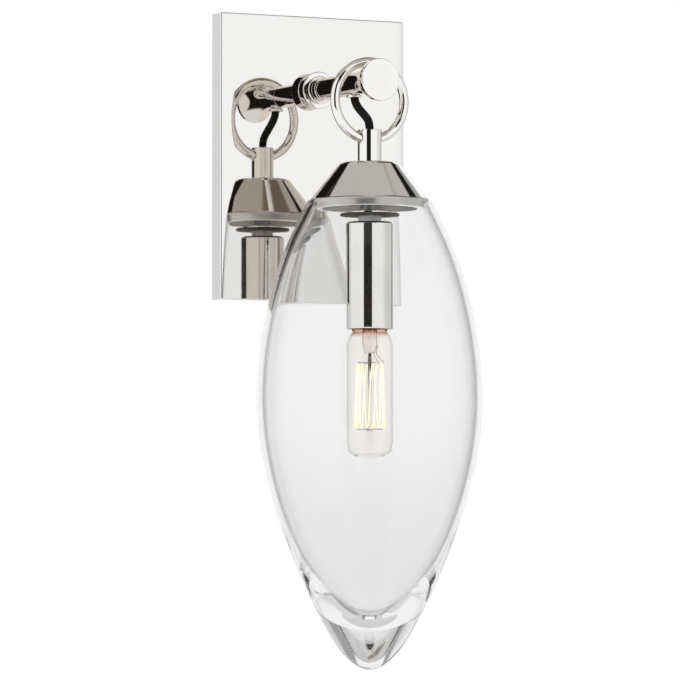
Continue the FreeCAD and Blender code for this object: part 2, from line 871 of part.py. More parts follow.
def tube(name, points, radius):
    """A round wire along the points, checked against its section times its length."""
    path, radii = rounded_path(points)
    along = (points[1] - points[0]).normalize()
    section = Part.Wire([Part.Circle(points[0], along, radius).toShape()])
    solid = path.makePipeShell([section], True, False)
    expected = math.pi * radius * radius * path.Length
    if abs(solid.Volume / expected - 1) > VOLUME_SHARE:
        raise RuntimeError(f"{name} has volume {solid.Volume:.2f}, expected {expected:.2f}")
    print(name, "length", round(path.Length, 2), "radii", [round(bend, 1) for bend in radii])
    return solid


def flex_points():
    """Middle of the flex: x, then how far out from the plate's face and down from the arm's axis it goes."""
    points = []
    for out, down in FLEX_SHARES:
        reach = size.bushing_reach + (size.pendant_reach - size.bushing_reach) * out
        points.append(FreeCAD.Vector(0, -reach.number, -(stem_top * down).number))
    return points


def pendant_flex():
    points = flex_points()
    print("pendant_flex points", [(round(point.y, 2), round(point.z, 2)) for point in points])
    item = shaped("pendant_flex", tube("pendant_flex", points, size.flex_radius.number))
    return node(place(item, 0, plate_face, arm_height), "pendant_flex")


def arm_wires():
    """Two insulated wires from inside the plate, along the arm, to the end of the flex."""
    length = size.arm_wire_tail + size.bushing_reach + size.wire_insulation_radius
    start = plate_face + size.arm_wire_tail
    level = arm_height - size.arm_wire_drop
    wires = []
    for side in (-1, 1):
        wire = cylinder("arm_wire", size.wire_insulation_radius, length)
        wires.append(place(wire, side * size.arm_wire_spread, start, level, (1, 0, 0), 90))
    return node(group("arm_wires", wires), "arm_wires")


def hanging_ring():
    ring = doc.addObject("Part::Torus", "hanging_ring_torus")
    bind(ring, "Radius1", size.ring_radius)
    bind(ring, "Radius2", size.ring_wire_radius)
    return node(place(ring, 0, pendant_line, arm_height - ring_drop, (1, 0, 0), 90), "hanging_ring")


def stem_tube():
    """Open tube with a cross hole for the ring and a threaded lower end."""
    bore = size.stem_radius - size.stem_wall
    thread_top = cap_top - size.stem_thread_length
    lip = size.stem_round
    corners = (
        (bore, stem_top),
        (size.stem_radius - lip, stem_top),
        (size.stem_radius, stem_top + lip),
        (size.stem_radius, cap_top),
        (thread_bore, cap_top),
        (thread_bore, thread_top),
        (bore, thread_top),
    )
    owner = turned("stem_tube", corners, {1: (lip, -1)}, down=True)
    wall_middle = size.stem_radius - size.stem_wall / 2
    ring_rise = size.ring_radius - (size.ring_radius * size.ring_radius - wall_middle * wall_middle).root()
    hole_radius = size.ring_wire_radius + size.cross_hole_gap
    hole = circle(sketch_on(owner, "YZ_Plane"), 0, ring_rise - hinge_depth, hole_radius)
    pocketed(owner, hole)
    return node(on_pendant(owner), "stem_tube")


def socket_wires():
    """Two insulated wires from the end of the flex, past both sides of the ring, down to the terminals."""
    insulation = size.wire_insulation_radius
    beside = number_of(size.ring_wire_radius + insulation + size.socket_wire_gap)
    start = size.socket_wire_start_gap.number - flex_points()[-1].z
    near = number_of(size.arm_wire_spread)
    spread = number_of(size.socket_wire_spread)
    hinge = hinge_depth.number
    turn_in = hinge + WIRE_TURN_SHARE * size.stem_head.number
    inside = number_of(cap_top - size.stem_thread_length)
    end = number_of(chamber_bottom - size.terminal_screw_head_height - size.touch_gap)
    wires = []
    for side in (-1, 1):
        route = (
            (near, start),
            (beside, (start + hinge) / 2),
            (beside, turn_in),
            (spread, inside),
            (spread, end),
        )
        points = [FreeCAD.Vector(0, side * across, -depth) for across, depth in route]
        wires.append(tube("socket_wires", points, insulation.number))
    item = shaped("socket_wires", Part.makeCompound(wires))
    return node(on_pendant(item), "socket_wires")


def shade_cap():
    """Cone-shaped cap: a thick top on the stem, a wall along the cone, and a bore for the shade's collar."""
    slope = (size.cap_bottom_radius - size.cap_top_radius) / size.cap_height
    inner_top = cap_top + size.cap_top_thickness
    bore_top = cap_bottom - size.shade_spigot_height - size.touch_gap
    inner_top_radius = size.cap_top_radius + size.cap_top_thickness * slope - size.cap_wall
    corners = (
        (thread_bore, cap_top),
        (size.cap_top_radius, cap_top),
        (size.cap_bottom_radius, cap_bottom),
        (collar_joint, cap_bottom),
        (collar_joint, bore_top),
        (inner_top_radius, inner_top),
        (thread_bore, inner_top),
    )
    owner = turned("shade_cap", corners, down=True)
    filleted(owner, "Fillet", size.cap_shoulder_round, edge_at(size.cap_top_radius, -cap_top))
    return node(on_pendant(owner), "shade_cap")


def socket_nipple():
    top = cap_top - size.stem_thread_length + size.touch_gap
    bottom = chamber_top - size.touch_gap
    item = ring_section("socket_nipple", size.nipple_bore_radius, size.nipple_radius, top, bottom)
    return node(on_pendant(item), "socket_nipple")


def cap_lock_nut():
    item = nut("cap_lock_nut", size.cap_nut_flats, size.cap_nut_thickness)
    bottom = cap_top + size.cap_top_thickness + size.cap_nut_thickness
    return node(place(item, 0, pendant_line, arm_height - bottom), "cap_lock_nut")


def shield_washer():
    edge = size.shield_washer_radius
    item = ring_section("shield_washer", thread_bore, edge, shield_washer_top, shield_disc_top)
    return node(on_pendant(item), "shield_washer")


def shield_disc():
    edge = size.shield_disc_radius
    item = ring_section("shield_disc", thread_bore, edge, shield_disc_top, socket_nut_top)
    return node(on_pendant(item), "shield_disc")


def socket_nut():
    item = nut("socket_nut", size.socket_nut_flats, size.socket_nut_thickness)
    return node(place(item, 0, pendant_line, arm_height - sleeve_top), "socket_nut")


def socket_sleeve():
    inner = size.sleeve_radius - size.sleeve_wall
    edge = size.sleeve_round
    under = sleeve_top + size.sleeve_top_thickness
    corners = (
        (thread_bore, sleeve_top),
        (size.sleeve_radius - edge, sleeve_top),
        (size.sleeve_radius, sleeve_top + edge),
        (size.sleeve_radius, sleeve_bottom),
        (inner, sleeve_bottom),
        (inner, under),
        (thread_bore, under),
    )
    item = turned("socket_sleeve", corners, {1: (edge, -1)}, down=True)
    return node(on_pendant(item), "socket_sleeve")


def lampholder_body():
    edge = size.holder_round
    shell_seat = shell_radius + size.thread_gap
    rivet_bore = size.contact_rivet_radius + size.thread_gap
    corners = (
        (thread_bore, holder_top),
        (size.holder_radius - edge, holder_top),
        (size.holder_radius, holder_top + edge),
        (size.holder_radius, holder_bottom),
        (shell_seat, holder_bottom),
        (shell_seat, shell_top),
        (rivet_bore, shell_top),
        (rivet_bore, chamber_bottom),
        (size.holder_chamber_radius, chamber_bottom),
        (size.holder_chamber_radius, chamber_top),
        (thread_bore, chamber_top),
    )
    owner = turned("lampholder_body", corners, {1: (edge, -1)}, down=True)
    bore_radius = size.terminal_screw_radius + size.thread_gap
    floor = FreeCAD.Vector(0, 0, -chamber_bottom.number)
    for side in (-1, 1):
        bore = circle(sketch_on(owner, "XY_Plane"), 0, side * size.terminal_screw_spread, bore_radius)
        bore.AttachmentOffset = FreeCAD.Placement(floor, FreeCAD.Rotation())
        bore.setExpression("AttachmentOffset.Base.z", (-chamber_bottom).text)
        pocketed(owner, bore, size.holder_web - size.touch_gap)
    return node(on_pendant(owner), "lampholder_body")


def screw_shell():
    """Threaded contact shell of the lampholder, a thin cup open downwards."""
    under = shell_top + size.screw_shell_wall
    bottom = shell_top + size.screw_shell_length
    corners = (
        (size.screw_shell_end_radius, shell_top),
        (shell_radius, shell_top),
        (shell_radius, bottom),
        (shell_bore, bottom),
        (shell_bore, under),
        (size.screw_shell_end_radius, under),
    )
    return node(on_pendant(turned("screw_shell", corners, down=True)), "screw_shell")


def centre_contact():
    head_top = chamber_bottom - size.contact_rivet_head
    pad_top = contact_bottom - size.contact_thickness
    corners = (
        (0, head_top),
        (size.contact_rivet_head_radius, head_top),
        (size.contact_rivet_head_radius, chamber_bottom),
        (size.contact_rivet_radius, chamber_bottom),
        (size.contact_rivet_radius, pad_top),
        (size.contact_radius, pad_top),
        (size.contact_radius, contact_bottom),
        (0, contact_bottom),
    )
    return node(on_pendant(turned("centre_contact", corners, down=True)), "centre_contact")


def terminal_screws():
    """Two slotted screws in the floor of the lampholder's wire chamber, one for each wire."""
    head_top = size.terminal_screw_head_height
    tail = -(size.holder_web - size.touch_gap - size.touch_gap)
    slot_length = (size.terminal_screw_head_radius + size.cut_overrun) * 2
    slot_depth = size.terminal_slot_depth + size.cut_overrun
    screws = []
    for name, side in (("near", -1), ("far", 1)):
        corners = (
            (0, tail),
            (size.terminal_screw_radius, tail),
            (size.terminal_screw_radius, 0),
            (size.terminal_screw_head_radius, 0),
            (size.terminal_screw_head_radius, head_top),
            (0, head_top),
        )
        blank = turned(f"{name}_terminal_screw", corners)
        slot = box(f"{name}_terminal_slot", slot_length, size.terminal_slot_width, slot_depth)
        place(slot, -slot_length / 2, -size.terminal_slot_width / 2, head_top - size.terminal_slot_depth)
        screw = cut(blank, slot, f"{name}_terminal_screw")
        across = pendant_line + side * size.terminal_screw_spread
        screws.append(place(screw, 0, across, arm_height - chamber_bottom))
    return node(group("terminal_screws", screws), "terminal_screws")


def lamp_base():
    under = lamp_base_top + size.lamp_base_wall
    inner = size.lamp_base_radius - size.lamp_base_wall
    corners = (
        (size.lamp_base_end_radius, lamp_base_top),
        (size.lamp_base_radius, lamp_base_top),
        (size.lamp_base_radius, lamp_base_bottom),
        (inner, lamp_base_bottom),
        (inner, under),
        (size.lamp_base_end_radius, under),
    )
    return node(on_pendant(turned("lamp_base", corners, down=True)), "lamp_base")


def lamp_base_insulator():
    top = lamp_tip_top + size.lamp_tip_height
    plug_radius = size.lamp_base_end_radius - size.thread_gap
    corners = (
        (0, top),
        (size.lamp_tip_radius, top),
        (size.lamp_base_radius - size.lamp_base_wall, lamp_base_top),
        (plug_radius, lamp_base_top),
        (plug_radius, lamp_base_top + size.lamp_base_wall),
        (0, lamp_base_top + size.lamp_base_wall),
    )
    return node(on_pendant(turned("lamp_base_insulator", corners, down=True)), "lamp_base_insulator")


def lamp_tip_contact():
    bottom = lamp_tip_top + size.lamp_tip_height
    edge = size.lamp_tip_round
    corners = (
        (0, lamp_tip_top),
        (size.lamp_tip_radius - edge, lamp_tip_top),
        (size.lamp_tip_radius, lamp_tip_top + edge),
        (size.lamp_tip_radius, bottom),
        (0, bottom),
    )
    item = turned("lamp_tip_contact", corners, {1: (edge, -1)}, down=True)
    return node(on_pendant(item), "lamp_tip_contact")


def lamp_outline(inset):
    """Edges of the lamp's glass from its neck to its tip, drawn inside the real outline by the inset."""
    neck = size.lamp_neck_radius.number - inset
    collar = size.lamp_collar_radius.number - inset
    side = size.lamp_radius.number - inset
    neck_top = number_of(lamp_base_bottom - size.lamp_neck_insertion)
    flare_top = number_of(lamp_collar_bottom - size.lamp_collar_drop - size.lamp_collar_flare)
    flare_bottom = number_of(lamp_collar_bottom - size.lamp_collar_drop)
    collar_bottom = lamp_collar_bottom.number
    side_top = lamp_side_top.number
    side_bottom = lamp_side_bottom.number
    corner = size.lamp_dome_corner.number - inset
    height = size.lamp_dome_height.number - inset
    corner_middle = side - corner
    dome = (corner_middle**2 + height**2 - corner**2) / (2 * (height - corner))
    dome_middle = side_bottom + height - dome
    toward = math.atan2(side_bottom - dome_middle, corner_middle)
    shoulder = ((side - collar) ** 2 + (side_top - collar_bottom) ** 2) / (2 * (side - collar))

    def at(radius, depth):
        return FreeCAD.Vector(radius, 0, -depth)

    def arc(middle, depth, bend, first, last):
        angles = (first, (first + last) / 2, last)
        points = [at(middle + bend * math.cos(angle), depth + bend * math.sin(angle)) for angle in angles]
        return Part.Arc(*points).toShape()

    rise = math.asin((side_top - collar_bottom) / shoulder)
    return [
        Part.LineSegment(at(neck, neck_top), at(neck, flare_top)).toShape(),
        Part.LineSegment(at(neck, flare_top), at(collar, flare_bottom)).toShape(),
        Part.LineSegment(at(collar, flare_bottom), at(collar, collar_bottom)).toShape(),
        arc(side - shoulder, side_top, shoulder, -rise, 0.0),
        Part.LineSegment(at(side, side_top), at(side, side_bottom)).toShape(),
        arc(corner_middle, side_bottom, corner, 0.0, toward),
        arc(0.0, dome_middle, dome, toward, math.pi / 2),
    ]


def turned_face(edges):
    """Turns a closed outline, drawn in the XZ plane, about the Z axis."""
    face = Part.Face(Part.Wire(Part.__sortEdges__(edges)))
    solid = face.revolve(FreeCAD.Vector(0, 0, 0), FreeCAD.Vector(0, 0, 1), 360)
    return solid if solid.Volume > 0 else solid.reversed()


def ends_of(edges):
    return edges[0].firstVertex().Point, edges[-1].lastVertex().Point


def lamp_envelope():
    outer = lamp_outline(0.0)
    inner = lamp_outline(size.lamp_glass_wall.number)
    outer_start, outer_end = ends_of(outer)
    inner_start, inner_end = ends_of(inner)
    rim = Part.LineSegment(outer_start, inner_start).toShape()
    tip = Part.LineSegment(outer_end, inner_end).toShape()
    item = shaped("lamp_envelope", turned_face(outer + inner + [rim, tip]))
    return node(on_pendant(item), "lamp_envelope")


def lamp_mount():
    """Glass mount inside the lamp: a tube from the neck, its press, and a rod that ends in a button."""
    neck = size.lamp_neck_radius - size.lamp_glass_wall - size.thread_gap
    top = lamp_base_bottom - size.lamp_neck_insertion
    flange = top + size.lamp_glass_wall
    tube_end = sleeve_bottom + size.mount_tube_end
    press_end = sleeve_bottom + size.mount_press_end
    rod_end = sleeve_bottom + size.filament_bottom + size.mount_button_height
    button = size.mount_button_radius
    corners = (
        (0, top),
        (neck, top),
        (neck, flange),
        (size.mount_tube_radius, flange + size.lamp_glass_wall),
        (size.mount_tube_radius, tube_end),
        (size.mount_press_radius, press_end),
        (size.mount_rod_radius, press_end),
        (size.mount_rod_radius, rod_end - size.mount_button_height),
        (button, rod_end - size.mount_button_height / 2),
        (0, rod_end),
    )
    return node(on_pendant(turned("lamp_mount", corners, down=True)), "lamp_mount")


def strand_ends(index):
    """Top and bottom of one strand of the filament, which goes round the cage as it goes up and down."""
    angle = 2 * math.pi * (index + 0.5) / FILAMENT_STRANDS
    radius = size.filament_cage_radius.number
    top = number_of(sleeve_bottom + size.filament_top)
    bottom = number_of(sleeve_bottom + size.filament_bottom)
    across, along = radius * math.cos(angle), radius * math.sin(angle)
    return FreeCAD.Vector(across, along, -top), FreeCAD.Vector(across, along, -bottom)


def hook_points():
    """The middle of each turn of the filament: at the bottom after even strands, else at the top."""
    points = []
    for index in range(FILAMENT_STRANDS - 1):
        end = 1 if index % 2 == 0 else 0
        points.append((strand_ends(index)[end] + strand_ends(index + 1)[end]) / 2)
    return points


def lamp_filament():
    points = []
    for index in range(FILAMENT_STRANDS):
        top, bottom = strand_ends(index)
        points += [top, bottom] if index % 2 == 0 else [bottom, top]
    item = shaped("lamp_filament", tube("lamp_filament", points, size.filament_radius.number))
    return node(on_pendant(item), "lamp_filament")


def rod(start, end, radius):
    along = end - start
    return Part.makeCylinder(radius, along.Length, start, along)


def lamp_supports():
    """Fine wires from the glass rod to the filament's turns, and the two lead-in wires from the press."""
    wire = size.support_radius.number
    clear = size.filament_radius.number + wire + size.thread_gap.number
    rod_surface = size.mount_rod_radius.number + size.thread_gap.number
    wires = []
    for point in hook_points():
        outward = FreeCAD.Vector(point.x, point.y, 0).normalize()
        level = FreeCAD.Vector(0, 0, point.z)
        start = level + outward * rod_surface
        end = point - outward * clear
        wires.append(rod(start, end, wire))
    press = number_of(sleeve_bottom + size.mount_tube_end)
    spread = size.lead_in_spread.number
    for index in (0, FILAMENT_STRANDS - 1):
        top = strand_ends(index)[0]
        outward = FreeCAD.Vector(top.x, top.y, 0).normalize()
        end = top - outward * clear
        start = outward * (size.mount_tube_radius.number + wire + size.thread_gap.number)
        start.z = -press
        knee = outward * spread
        knee.z = (start.z + end.z) / 2
        wires.append(tube("lamp_supports", [start, knee, end], wire))
    item = shaped("lamp_supports", Part.makeCompound(wires))
    return node(on_pendant(item), "lamp_supports")


def shade_curve(rim_radius, top, height, radius, shares):
    """A smooth outline from the rim, through its shares, to the middle of the bottom, where it is level."""
    points = [FreeCAD.Vector(rim_radius, 0, -top)]
    for down, out in shares:
        points.append(FreeCAD.Vector(radius * out, 0, -(top + height * down)))
    points.append(FreeCAD.Vector(0, 0, -(top + height)))
    start = (points[1] - points[0]).normalize()
    curve = Part.BSplineCurve()
    curve.interpolate(Points=points, InitialTangent=start, FinalTangent=FreeCAD.Vector(-1, 0, 0))
    return curve.toShape()


def glass_shade():
    top = shade_top.number
    bore = neck_bore.number
    outer_radius = bore + size.shade_neck_wall.number
    height = size.shade_height.number
    radius = size.shade_radius.number
    outer = shade_curve(outer_radius, top, height, radius, SHADE_OUTER_SHARES)
    cavity = size.shade_cavity_depth.number
    inner = shade_curve(bore, top, cavity, radius - size.shade_wall.number, SHADE_CAVITY_SHARES)
    rim = Part.LineSegment(inner.firstVertex().Point, outer.firstVertex().Point).toShape()
    tip = Part.LineSegment(inner.lastVertex().Point, outer.lastVertex().Point).toShape()
    solid = turned_face([rim, outer, tip, inner])
    near = size.same_place.number
    rims = [edge for edge in solid.Edges if edge.BoundBox.ZMin > -top - near]
    rounded = solid.makeFillet(size.shade_rim_round.number, rims)
    return node(on_pendant(shaped("glass_shade", rounded)), "glass_shade")


def shade_collar():
    """Collar bonded in the glass neck, with a spigot that screws up into the cap."""
    spigot_top = cap_bottom - size.shade_spigot_height
    bottom = shade_top + size.shade_collar_drop
    small = size.collar_round
    corners = (
        (size.shade_collar_bore_radius, spigot_top),
        (size.shade_spigot_radius, spigot_top),
        (size.shade_spigot_radius, shade_top),
        (size.shade_collar_radius, shade_top),
        (size.shade_collar_radius, bottom - small),
        (size.shade_collar_radius - small, bottom),
        (size.shade_collar_bore_radius, bottom),
    )
    item = turned("shade_collar", corners, {4: (small, -1)}, down=True)
    return node(on_pendant(item), "shade_collar")


def neck_bond():
    top = shade_top + size.shade_rim_round + size.shade_bond_inset
    bottom = shade_top + size.shade_collar_drop - size.collar_round
    inner = size.shade_collar_radius + size.thread_gap
    outer = neck_bore - size.thread_gap
    return node(on_pendant(ring_section("neck_bond", inner, outer, top, bottom)), "neck_bond")


def build():
    pieces = (
        backplate,
        mounting_bracket,
        plate_set_screws,
        earth_screw,
        arm_nipple,
        arm_lock_washer,
        arm_lock_nut,
        arm_collar,
        arm_tube,
        arm_flare,
        arm_end_cap,
        flex_bushing,
        pendant_flex,
        arm_wires,
        hanging_ring,
        stem_tube,
        socket_wires,
        shade_cap,
        socket_nipple,
        cap_lock_nut,
        shield_washer,
        shield_disc,
        socket_nut,
        socket_sleeve,
        lampholder_body,
        screw_shell,
        centre_contact,
        terminal_screws,
        lamp_base,
        lamp_base_insulator,
        lamp_tip_contact,
        lamp_envelope,
        lamp_mount,
        lamp_filament,
        lamp_supports,
        glass_shade,
        shade_collar,
        neck_bond,
    )
    for piece in pieces:
        piece()
    doc.recompute()


def check_and_write():
    for item in doc.Objects:
        if "Invalid" in item.State or "Error" in item.State:
            raise RuntimeError(f"{item.Name} failed: {item.State}")
    for item in nodes:
        if item.Shape.isNull() or not item.Shape.isValid() or not item.Shape.Solids:
            raise RuntimeError(f"{item.Label} has no valid solid")
    os.makedirs("parts", exist_ok=True)
    for item in nodes:
        item.Shape.exportStep(os.path.join("parts", item.Label + ".step"))
        span = item.Shape.BoundBox
        low = [round(value, 1) for value in (span.XMin, span.YMin, span.ZMin)]
        high = [round(value, 1) for value in (span.XMax, span.YMax, span.ZMax)]
        print(item.Label, len(item.Shape.Solids), round(item.Shape.Volume, 1), low, high)


build()
check_and_write()
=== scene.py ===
import math

import bpy
from mathutils import Matrix, Vector


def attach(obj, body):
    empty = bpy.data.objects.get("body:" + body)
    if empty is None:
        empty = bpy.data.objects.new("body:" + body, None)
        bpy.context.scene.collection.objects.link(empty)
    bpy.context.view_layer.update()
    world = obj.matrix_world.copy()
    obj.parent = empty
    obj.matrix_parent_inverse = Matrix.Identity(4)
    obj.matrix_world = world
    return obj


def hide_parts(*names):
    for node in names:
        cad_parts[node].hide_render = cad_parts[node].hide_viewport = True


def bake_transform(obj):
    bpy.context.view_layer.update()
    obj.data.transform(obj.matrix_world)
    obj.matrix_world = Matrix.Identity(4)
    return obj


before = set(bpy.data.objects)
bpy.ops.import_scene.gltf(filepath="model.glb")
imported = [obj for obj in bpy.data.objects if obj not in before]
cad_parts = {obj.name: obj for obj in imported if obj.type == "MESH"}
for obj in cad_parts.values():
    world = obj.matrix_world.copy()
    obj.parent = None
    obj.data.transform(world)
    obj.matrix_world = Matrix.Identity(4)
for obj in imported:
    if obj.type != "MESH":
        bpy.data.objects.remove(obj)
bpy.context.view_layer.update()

# Lengths are in millimetres unless a comment says otherwise. +Y goes into the wall, +X right and +Z up.
# The camera, the floor and the lamps are placed in metres.
MM = 0.001
# Vertices nearer to each other than this are merged, in metres.
WELD = 0.000002

PLATE_WIDTH = 112.0
PLATE_HEIGHT = 155.0
PLATE_DEPTH = 11.0
PLATE_WALL = 2.2
# The arm's axis stands this high, and the pendant's upright line this far out from the wall.
ARM_Z = 37.0
PENDANT_Y = -75.5
# Radius of the hole for a threaded nipple, in the arm's pieces and in the pendant's.
NIPPLE_HOLE = 4.9
TUBE_RADIUS = 5.9
RING_RADIUS = 20.8
RING_Z = 26.6
WIRE_RADIUS = 2.55
CAP_TOP = -6.4
CAP_FOOT = -26.5
SLEEVE_TOP = -38.9
LAMP_RADIUS = 12.7
# Direction from the light back to the camera, seen from above. The surroundings are laid out round it.
TOWARD_CAMERA = (-0.4674, -0.8840)
WHITE = (1.0, 1.0, 1.0)


# Camera

def place_camera():
    """A long lens to the left of the light and a little below its middle, looking slightly up."""
    turn, tilt = math.radians(27.86), math.radians(2.93)
    ahead = Vector((math.sin(turn) * math.cos(tilt), math.cos(turn) * math.cos(tilt), math.sin(tilt)))
    right = Vector((math.cos(turn), -math.sin(turn), 0))
    up = right.cross(ahead)
    data = bpy.data.cameras.new("camera")
    data.lens = 306.6
    data.clip_start = 0.1
    data.clip_end = 100
    camera = bpy.data.objects.new("camera", data)
    bpy.context.scene.collection.objects.link(camera)
    camera.matrix_world = Matrix((right, up, -ahead)).transposed().to_4x4()
    camera.location = (-1.4503, -2.7854, -0.2583)
    bpy.context.scene.camera = camera


# Outlines, as lists of points

def arc_points(centre, radius, first, last, count):
    """Points of an arc in the outline's plane, angles in degrees."""
    angles = [math.radians(first + (last - first) * step / count) for step in range(count + 1)]
    return [(centre[0] + radius * math.cos(angle), centre[1] + radius * math.sin(angle)) for angle in angles]


def curve_through(points, count):
    """Points of a Catmull-Rom curve through the given ones, evenly spread between each two."""
    ends = [points[0]] + list(points) + [points[-1]]
    line = []
    for before, start, finish, after in zip(ends, ends[1:], ends[2:], ends[3:]):
        for step in range(count):
            t = step / count
            line.append(tuple(
                0.5 * (
                    2 * b + (c - a) * t + (2 * a - 5 * b + 4 * c - d) * t * t
                    + (3 * b - a - 3 * c + d) * t ** 3
                )
                for a, b, c, d in zip(before, start, finish, after)
            ))
    line.append(tuple(points[-1]))
    return line


def spline_through(points, count):
    """Points of a cubic spline through an outline's points, which ends level on the axis."""
    lengths = [0.0]
    for start, finish in zip(points, points[1:]):
        lengths.append(lengths[-1] + math.dist(start, finish))
    ends = ((0, -1.0), (1, 0.0))
    slopes = [spline_slopes(lengths, [point[part] for point in points], slope) for part, slope in ends]
    line = []
    for index in range(len(points) - 1):
        span = lengths[index + 1] - lengths[index]
        for step in range(count):
            t = step / count
            place = []
            for part in (0, 1):
                a, b = points[index][part], points[index + 1][part]
                p, q = slopes[part][index] * span, slopes[part][index + 1] * span
                place.append(
                    (2 * t ** 3 - 3 * t * t + 1) * a + (t ** 3 - 2 * t * t + t) * p
                    + (3 * t * t - 2 * t ** 3) * b + (t ** 3 - t * t) * q
                )
            line.append(tuple(place))
    line.append(tuple(points[-1]))
    return line


def spline_slopes(at, values, end_slope):
    """Slopes of the spline at each point: the first along the first chord, the last as given."""
    last = len(at) - 1
    upper, answer = [0.0], [(values[1] - values[0]) / (at[1] - at[0])]
    for index in range(1, last):
        before, after = at[index] - at[index - 1], at[index + 1] - at[index]
        rise_before, rise_after = values[index] - values[index - 1], values[index + 1] - values[index]
        rise = 3 * (after * rise_before / before + before * rise_after / after)
        pivot = 2 * (before + after) - after * upper[-1]
        upper.append(before / pivot)
        answer.append((rise - after * answer[-1]) / pivot)
    slopes = [end_slope]
    for index in range(last - 1, -1, -1):
        slopes.insert(0, answer[index] - upper[index] * slopes[0] if index else answer[0])
    return slopes


def steadied(outline):
    """Adds a point near each end of a long straight run, so that the shading rolls only over the corners."""
    long_run, inset = 2.0, 0.25
    line = []
    for start, finish in zip(outline, outline[1:] + outline[:1]):
        line.append(start)
        length = math.dist(start, finish)
        if length > long_run:
            for share in (inset / length, 1 - inset / length):
                line.append(tuple(a + (b - a) * share for a, b in zip(start, finish)))
    return line


# Modelling

def deselect():
    if bpy.context.mode != "OBJECT":
        bpy.ops.object.mode_set(mode="OBJECT")
    bpy.ops.object.select_all(action="DESELECT")


def activate(piece):
    deselect()
    piece.select_set(True)
    bpy.context.view_layer.objects.active = piece
    return piece


def settle(piece):
    """Puts a piece's place into its mesh, so that its object sits at the origin."""
    activate(piece)
    bpy.ops.object.transform_apply(location=True, rotation=True, scale=True)
    return piece


def smooth(piece, degrees=32):
    activate(piece)
    bpy.ops.object.shade_smooth_by_angle(angle=math.radians(degrees))
    return piece


def drawn(points, start):
    """Draws a line in edit mode: one vertex at the start, extruded from point to point."""
    deselect()
    bpy.ops.mesh.primitive_plane_add(size=MM, location=start)
    piece = bpy.context.active_object
    bpy.ops.object.mode_set(mode="EDIT")
    bpy.ops.mesh.select_mode(type="VERT")
    bpy.ops.mesh.select_all(action="SELECT")
    bpy.ops.mesh.merge(type="CENTER")
    here = Vector(start)
    for point in points:
        step = Vector(point) - here
        bpy.ops.mesh.extrude_region_move(TRANSFORM_OT_translate={"value": step})
        here = Vector(point)
    return piece


def spun(steps, centre, axis):
    """Spins the line that is being drawn once round an axis and joins it into a closed surface."""
    bpy.ops.mesh.select_all(action="SELECT")
    bpy.ops.mesh.spin(steps=steps, angle=2 * math.pi, center=centre, axis=axis)
    weld()


def weld():
    """Merges the doubled vertices of the mesh in edit mode and turns its faces outward."""
    bpy.ops.mesh.select_all(action="SELECT")
    bpy.ops.mesh.remove_doubles(threshold=WELD)
    bpy.ops.mesh.normals_make_consistent(inside=False)


def turned(name, outline, about="pendant", steps=128, degrees=32, straight=True):
    """Spins a closed outline of (radius, height) round the pendant, or of (radius, reach) round the arm."""
    outline = steadied(outline) if straight else outline
    if about == "pendant":
        corners = [Vector((radius, PENDANT_Y, height)) * MM for radius, height in outline]
        centre, axis = Vector((0, PENDANT_Y, 0)) * MM, (0, 0, 1)
    else:
        corners = [Vector((radius, -reach, ARM_Z)) * MM for radius, reach in outline]
        centre, axis = Vector((0, 0, ARM_Z)) * MM, (0, 1, 0)
    piece = drawn(corners[1:] + corners[:1], corners[0])
    spun(steps, centre, axis)
    bpy.ops.object.mode_set(mode="OBJECT")
    piece.name = name
    settle(piece)
    return smooth(piece, degrees)


def pick(piece, kind, wanted):
    """In edit mode, selects those vertices, edges or faces of a piece for which wanted is true."""
    bpy.ops.mesh.select_mode(type=kind)
    bpy.ops.mesh.select_all(action="DESELECT")
    bpy.ops.object.mode_set(mode="OBJECT")
    mesh = piece.data
    for part in {"VERT": mesh.vertices, "EDGE": mesh.edges, "FACE": mesh.polygons}[kind]:
        part.select = wanted(part)
    bpy.ops.object.mode_set(mode="EDIT")


def drilled(piece, radius, depth, place, vertices, rotation=(0, 0, 0)):
    """Cuts a round hole into a piece, with the middle of its drill at this place."""
    deselect()
    bpy.ops.mesh.primitive_cylinder_add(
        vertices=vertices, radius=radius * MM, depth=depth * MM,
        location=tuple(part * MM for part in place), rotation=rotation,
    )
    drill = settle(bpy.context.active_object)
    activate(piece)
    modifier = piece.modifiers.new("cut", "BOOLEAN")
    modifier.operation = "DIFFERENCE"
    modifier.solver = "EXACT"
    modifier.object = drill
    bpy.ops.object.modifier_apply(modifier=modifier.name)
    bpy.data.objects.remove(drill)


def spline_tube(name, places, radius, steps, roundness):
    """Mesh of a tube along a spline through control points, all in metres. Radius 0 gives its middle line."""
    curve = bpy.data.curves.new(name, "CURVE")
    curve.dimensions = "3D"
    curve.resolution_u = steps
    curve.bevel_depth = radius
    curve.bevel_resolution = roundness
    curve.use_fill_caps = radius > 0
    spline = curve.splines.new("NURBS")
    spline.points.add(len(places) - 1)
    for point, place in zip(spline.points, places):
        point.co = (*place, 1)
    spline.order_u = 3
    spline.use_endpoint_u = True
    holder = bpy.data.objects.new("line", curve)
    bpy.context.scene.collection.objects.link(holder)
    bpy.context.view_layer.update()
    mesh = bpy.data.meshes.new_from_object(holder.evaluated_get(bpy.context.evaluated_depsgraph_get()))
    bpy.data.objects.remove(holder)
    return mesh


def new_piece(name, mesh):
    piece = bpy.data.objects.new(name, mesh)
    bpy.context.scene.collection.objects.link(piece)
    return piece


